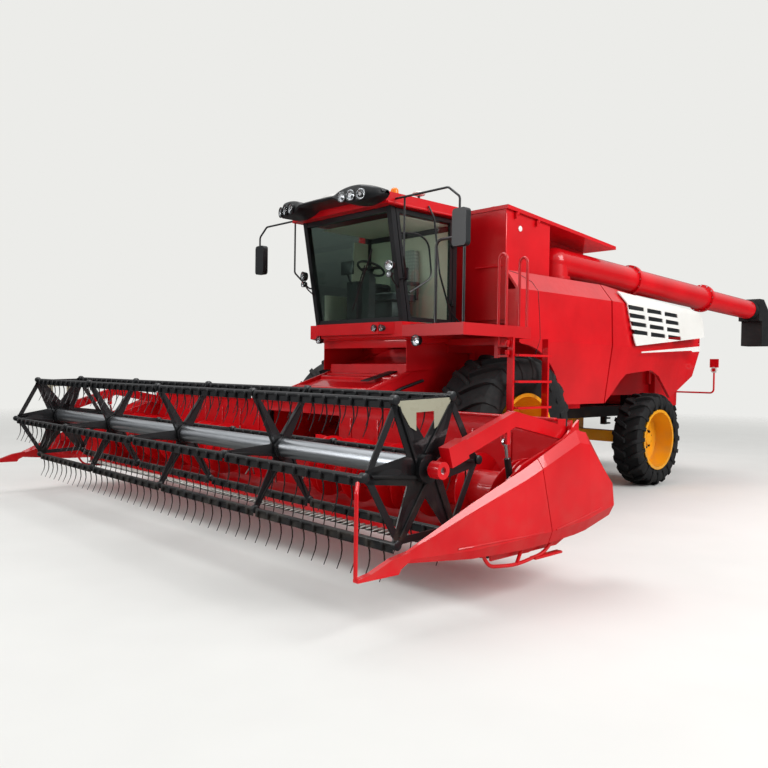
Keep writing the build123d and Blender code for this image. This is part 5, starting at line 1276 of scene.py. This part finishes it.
# %% Rib the feeder house
def on_feeder(x, y, up):
    """Point up above the feeder house's top, which falls by 0.63 m in 1.92 m."""
    return spot(x, y, 1.96 - (0.09 - y) * 0.63 / 1.92 + up)


parts = []
for y in (-0.62, -1.02, -1.12, -1.5):
    ring = ((y, 0.035), (y, -0.006), (y - 0.05, -0.006), (y - 0.05, 0.035))
    parts.append(slab("rib", [on_feeder(-0.66, *at) for at in ring], (1.32, 0, 0), 0.006))
for side in (LEFT, RIGHT):
    ring = ((-0.3, -0.01), (-1.78, -0.01), (-1.78, 0.045), (-0.3, 0.045))
    flange = [on_feeder(side * 0.69 - 0.01, *at) for at in ring]
    parts.append(slab("flange", flange, (0.02, 0, 0), 0.004))
dress(joined("feeder_ribs", *parts), red_enamel, "header", 30)
flap = slab("flap", [on_feeder(x, y, 0.04) for x, y in
                     ((0.66, -0.62), (0.5, -0.62), (0.3, -1.34), (0.44, -1.34))],
            (0, 0, 0.012), 0.004)
line = pipe("line", profile(0.715, ((-0.72, 1.55), (-1.1, 1.45), (-1.75, 1.15))), 0.02)
dress(joined("feeder_flap_and_line", flap, line), hose_rubber, "header", 40)
front = cuboid("front", spot(-0.755, -1.045, 1.93), spot(0.755, -1.03, 2.085), 0.005)
cheeks = [slab("cheek", profile(x, ((-1.04, 2.085), (-1.04, 1.66), (-0.62, 1.68), (-0.2, 1.82),
                                    (-0.2, 2.085))), (0.008, 0, 0)) for x in (-0.757, 0.749)]
dress(joined("throat_shield", front, *cheeks), red_enamel, "machine", 30)
lower = slab("feeder_throat", [spot(-0.69, -0.99, 1.6), spot(0.69, -0.99, 1.6),
                               spot(0.69, -0.973, 1.735), spot(-0.69, -0.973, 1.735)],
             (0, 0.012, 0))
dress(lower, red_enamel, "header", 30)
seals = [cuboid("seal", spot(x - 0.006, -1.957, 0.655), spot(x + 0.006, -1.874, 1.18), 0.002)
         for x in (-0.672, 0.672)]
dress(joined("feeder_seals", *seals), hose_rubber, "header", 30)
print("feeder has", len(parts), "ribs and flanges")

# %% [markdown]
# ## Seams, folds and port
# Thin dark seams mark the door in each front side panel, and folded edges stiffen the tank. A
# pale port shows high on the tank's left side.

# %% Draw the seams and folds
door_seam = [(0.02, 2.86), (0.16, 2.84), (0.35, 2.75), (0.385, 2.3), (0.39, 2.07), (0.3, 1.8)]
path = []
for (y0, z0), (y1, z1) in zip(door_seam, door_seam[1:]):
    path += [(y0 + (y1 - y0) * t / 4, z0 + (z1 - z0) * t / 4) for t in range(4)]
seam = pipe("panel_door_seam_left", [spot(skin_x(z) - 0.001, y, z) for y, z in path], 0.005, 0.01)
dress(seam, hose_rubber, "front_panel_left", 40)
dress(twin(seam, "panel_door_seam_right", ACROSS), hose_rubber, "front_panel_right", 40)
FOLD_Z = 2.93
folds = []
for side in (LEFT, RIGHT):
    across = [spot(side * 0.86, 0.028, FOLD_Z), spot(side * 1.27, 0.028, FOLD_Z)]
    upright = profile(side * 1.318, ((0.032, 3.0), (0.032, 3.55)))
    folds += [pipe("fold", across, 0.012), pipe("fold", upright, 0.012)]
dress(joined("tank_folds", *folds), red_enamel, "machine", 40)
port = turned("tank_port", [(-0.004, 0.034), (0.008, 0.034), (0.012, 0.026), (0.013, 0.001)],
              spot(1.32, 0.3, 3.4), "X", 24)
dress(port, white_enamel, "machine", 40)
print("tank folds run at", FOLD_Z, "m")

# %% [markdown]
# ## Unloading tube and rear lamps
# Bolts hold the tube's flanges. The rear lamp boards carry a red lens and a pale ring.

# %% Bolt the tube
tube_from, tube_to = spot(1.095, 1.35, 3.13), spot(1.4, 7.0, 2.84)
tube_way = (tube_to - tube_from).normalized()
bolt = turned("bolt", [(-0.034, 0.011), (0.034, 0.011)], (0, 0, 0), "Y", 6)
lean = Vector((0, 1, 0)).rotation_difference(tube_way).to_matrix().to_4x4()
BOLT_RING_R = 0.211
moves = []
for length in (1.78, 3.93):
    flange = Matrix.Translation(tube_from + tube_way * length) @ lean
    moves += [flange @ Matrix.Rotation(index * pi / 6, 4, "Y") @
              Matrix.Translation((0, 0, BOLT_RING_R)) for index in range(12)]
dress(copied(bolt, moves), zinc, "unloader", 30).name = "tube_flange_bolts"
red_moulding = moulded("moulded_red_lens", "E0141A", "B80C12", 0.2, 9)
boards, rings = [], []
for side in (LEFT, RIGHT):
    x = side * 1.56
    boards.append(cuboid("lens", spot(x - 0.055, 5.262, 1.8), spot(x + 0.055, 5.27, 1.912), 0.004))
    rings.append(turned("ring", [(-0.024, 0.03), (-0.024, 0.047), (0.024, 0.047), (0.024, 0.03),
                                 (-0.024, 0.03)], spot(x, 5.24, 1.745), "Y", 28, closed=True))
dress(joined("rear_lenses", *boards), red_moulding, "machine", 40)
dress(joined("rear_lamp_rings", *rings), pale_moulding, "machine", 40)
print(len(moves), "flange bolts")

# %% [markdown]
# ## Skid hoops
# A bent hoop, its stay and a flat shoe hang under each end shield.

# %% Bend the skid hoops
for word, side in SIDES:
    x = side * 3.6
    hoop = [pipe("hoop", profile(x, ((-3.1, 0.42), (-3.02, 0.3), (-2.7, 0.262), (-2.35, 0.3),
                                     (-2.2, 0.42))), 0.014, 0.12),
            pipe("stay", profile(x, ((-2.7, 0.262), (-2.6, 0.44))), 0.014),
            cuboid("shoe", spot(x - 0.03, -2.5, 0.27), spot(x + 0.03, -2.15, 0.29), 0.006)]
    dress(joined(f"skid_hoop_{word}", *hoop), red_enamel, "header", 40)
print("skid hoops are bent")

# %% [markdown]
# ## Rear, roof and deck
# Louvres stand on the slope and the sides of the engine hood. Ribs stiffen the straw hood and the
# tank lids, and the straw hood has two grips. A ridged rubber mat lies on the deck, and the
# mirrors are silvered on their rear faces.

# %% Dress the hoods
hood_low, hood_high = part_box("engine_hood")
SLOPE, FALL = 0.54, 0.26                 # the hood's slope runs back this far and falls that far
slats = []
for index in range(7):
    share = 0.12 + 0.115 * index
    y, z = hood_high.y - SLOPE * (1 - share), hood_high.z - FALL * share
    ring = [(y, z - 0.004), (y + 0.045, z - 0.026), (y + 0.045, z + 0.004), (y + 0.03, z + 0.014)]
    for x in (-0.56, 0.04):
        slats.append(slab("slat", [Vector((x, at, up)) for at, up in ring], (0.52, 0, 0), 0.003, 1))
for side in (LEFT, RIGHT):
    for index in range(5):
        z = hood_high.z - 0.09 - 0.05 * index
        x = side * hood_high.x
        slats.append(cuboid("slat", (x - 0.007, hood_low.y + 0.3, z),
                            (x + 0.007, hood_low.y + 1.2, z + 0.022), 0.004, 1))
dress(joined("hood_louvres", *slats), black_abs, "machine", 30)
straw_low, straw_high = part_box("straw_hood")
rear, waist = straw_high.y, 2.15
ribs = [pipe("rib", [(x, rear - 0.3, straw_high.z - 0.066), (x, rear + 0.001, waist),
                     (x, rear - 0.029, straw_low.z + 0.04)], 0.014, 0.03)
        for x in (-0.6, 0.0, 0.6)]
dress(joined("straw_hood_ribs", *ribs), red_enamel, "machine", 40)
GRIP_Z, HALF_GRIP = 1.75, 0.09
grips = [pipe("grip", [(x + across, rear + back, GRIP_Z) for across, back in
                       ((-HALF_GRIP, -0.005), (-HALF_GRIP, 0.035), (HALF_GRIP, 0.035),
                        (HALF_GRIP, -0.005))], 0.009, 0.02) for x in (-0.3, 0.3)]
dress(joined("straw_hood_grips", *grips), black_enamel, "machine", 40)
print(len(slats), "louvre slats")

# %% Rib the lids, line the deck and silver the mirrors
LID_FALL = 0.2 / 2.37                    # the lids fall to the rear by this share of their length
for word, side in SIDES:
    low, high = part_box(f"tank_lid_{word}")
    front, rear, top = low.y + 0.03, high.y - 0.05, high.z - 0.001
    end = top - LID_FALL * (rear - front)
    ring = ((front, top - 0.006), (rear, end - 0.006), (rear, end + 0.014), (front, top + 0.014))
    ribs = [slab("rib", [Vector((side * x - 0.03, y, z)) for y, z in ring], (0.06, 0, 0), 0.005, 1)
            for x in (0.16, 0.62, 1.1)]
    dress(joined(f"lid_ribs_{word}", *ribs), red_enamel, f"tank_lid_{word}", 30)
mat = cuboid("deck_mat", spot(0.88, -1.13, 2.1805), spot(1.56, -0.1, 2.188), 0.003)
ridge = cuboid("ridges", spot(0.9, -1.12, 2.187), spot(0.94, -0.11, 2.192), 0.002, 1)
dress(joined("deck_mat", mat, copied(ridge, row(0, 0.08, 8))), hose_rubber, "machine", 30)
MIRROR_X, MIRROR_HALF = 1.8, 0.08
faces = [cuboid("face", spot(side * MIRROR_X - MIRROR_HALF, -1.281, 2.962),
                spot(side * MIRROR_X + MIRROR_HALF, -1.277, 3.313), 0.0015, 1)
         for side in (LEFT, RIGHT)]
dress(joined("mirror_glasses", *faces), chrome, "machine", 30)
print("lids, deck and mirrors are done")

# %% [markdown]
# ## End shields
# A rolled bead runs along the lower crease of each end shield, in front of its seam and behind it.
# Its line is found by taking the nearest points on the shield's own surface.

# %% Roll the shields' beads
def on_surface(node, point, out):
    """Nearest point on a frame node's surface, moved out along its normal."""
    _, place, normal, _ = nodes[node].closest_point_on_mesh(point)
    return place + normal * out


def bead(name, node, points, radius, steps=14):
    """Bar that follows a node's surface along straight runs between points."""
    path = []
    for first, last in zip(points, points[1:]):
        path += [on_surface(node, first.lerp(last, i / steps), radius * 0.3) for i in range(steps)]
    return pipe(name, path, radius, 0.01)


OUTSIDE_X = 3.8                          # a little outside the shields
beads = [bead("bead", "end_shields", profile(side * OUTSIDE_X, run), 0.006)
         for side in (LEFT, RIGHT)
         for run in (((-3.42, 0.5), (-2.47, 0.5)), ((-2.38, 0.5), (-1.7, 0.6)))]
dress(joined("shield_beads", *beads), red_enamel, "header", 40)
print(len(beads), "beads")
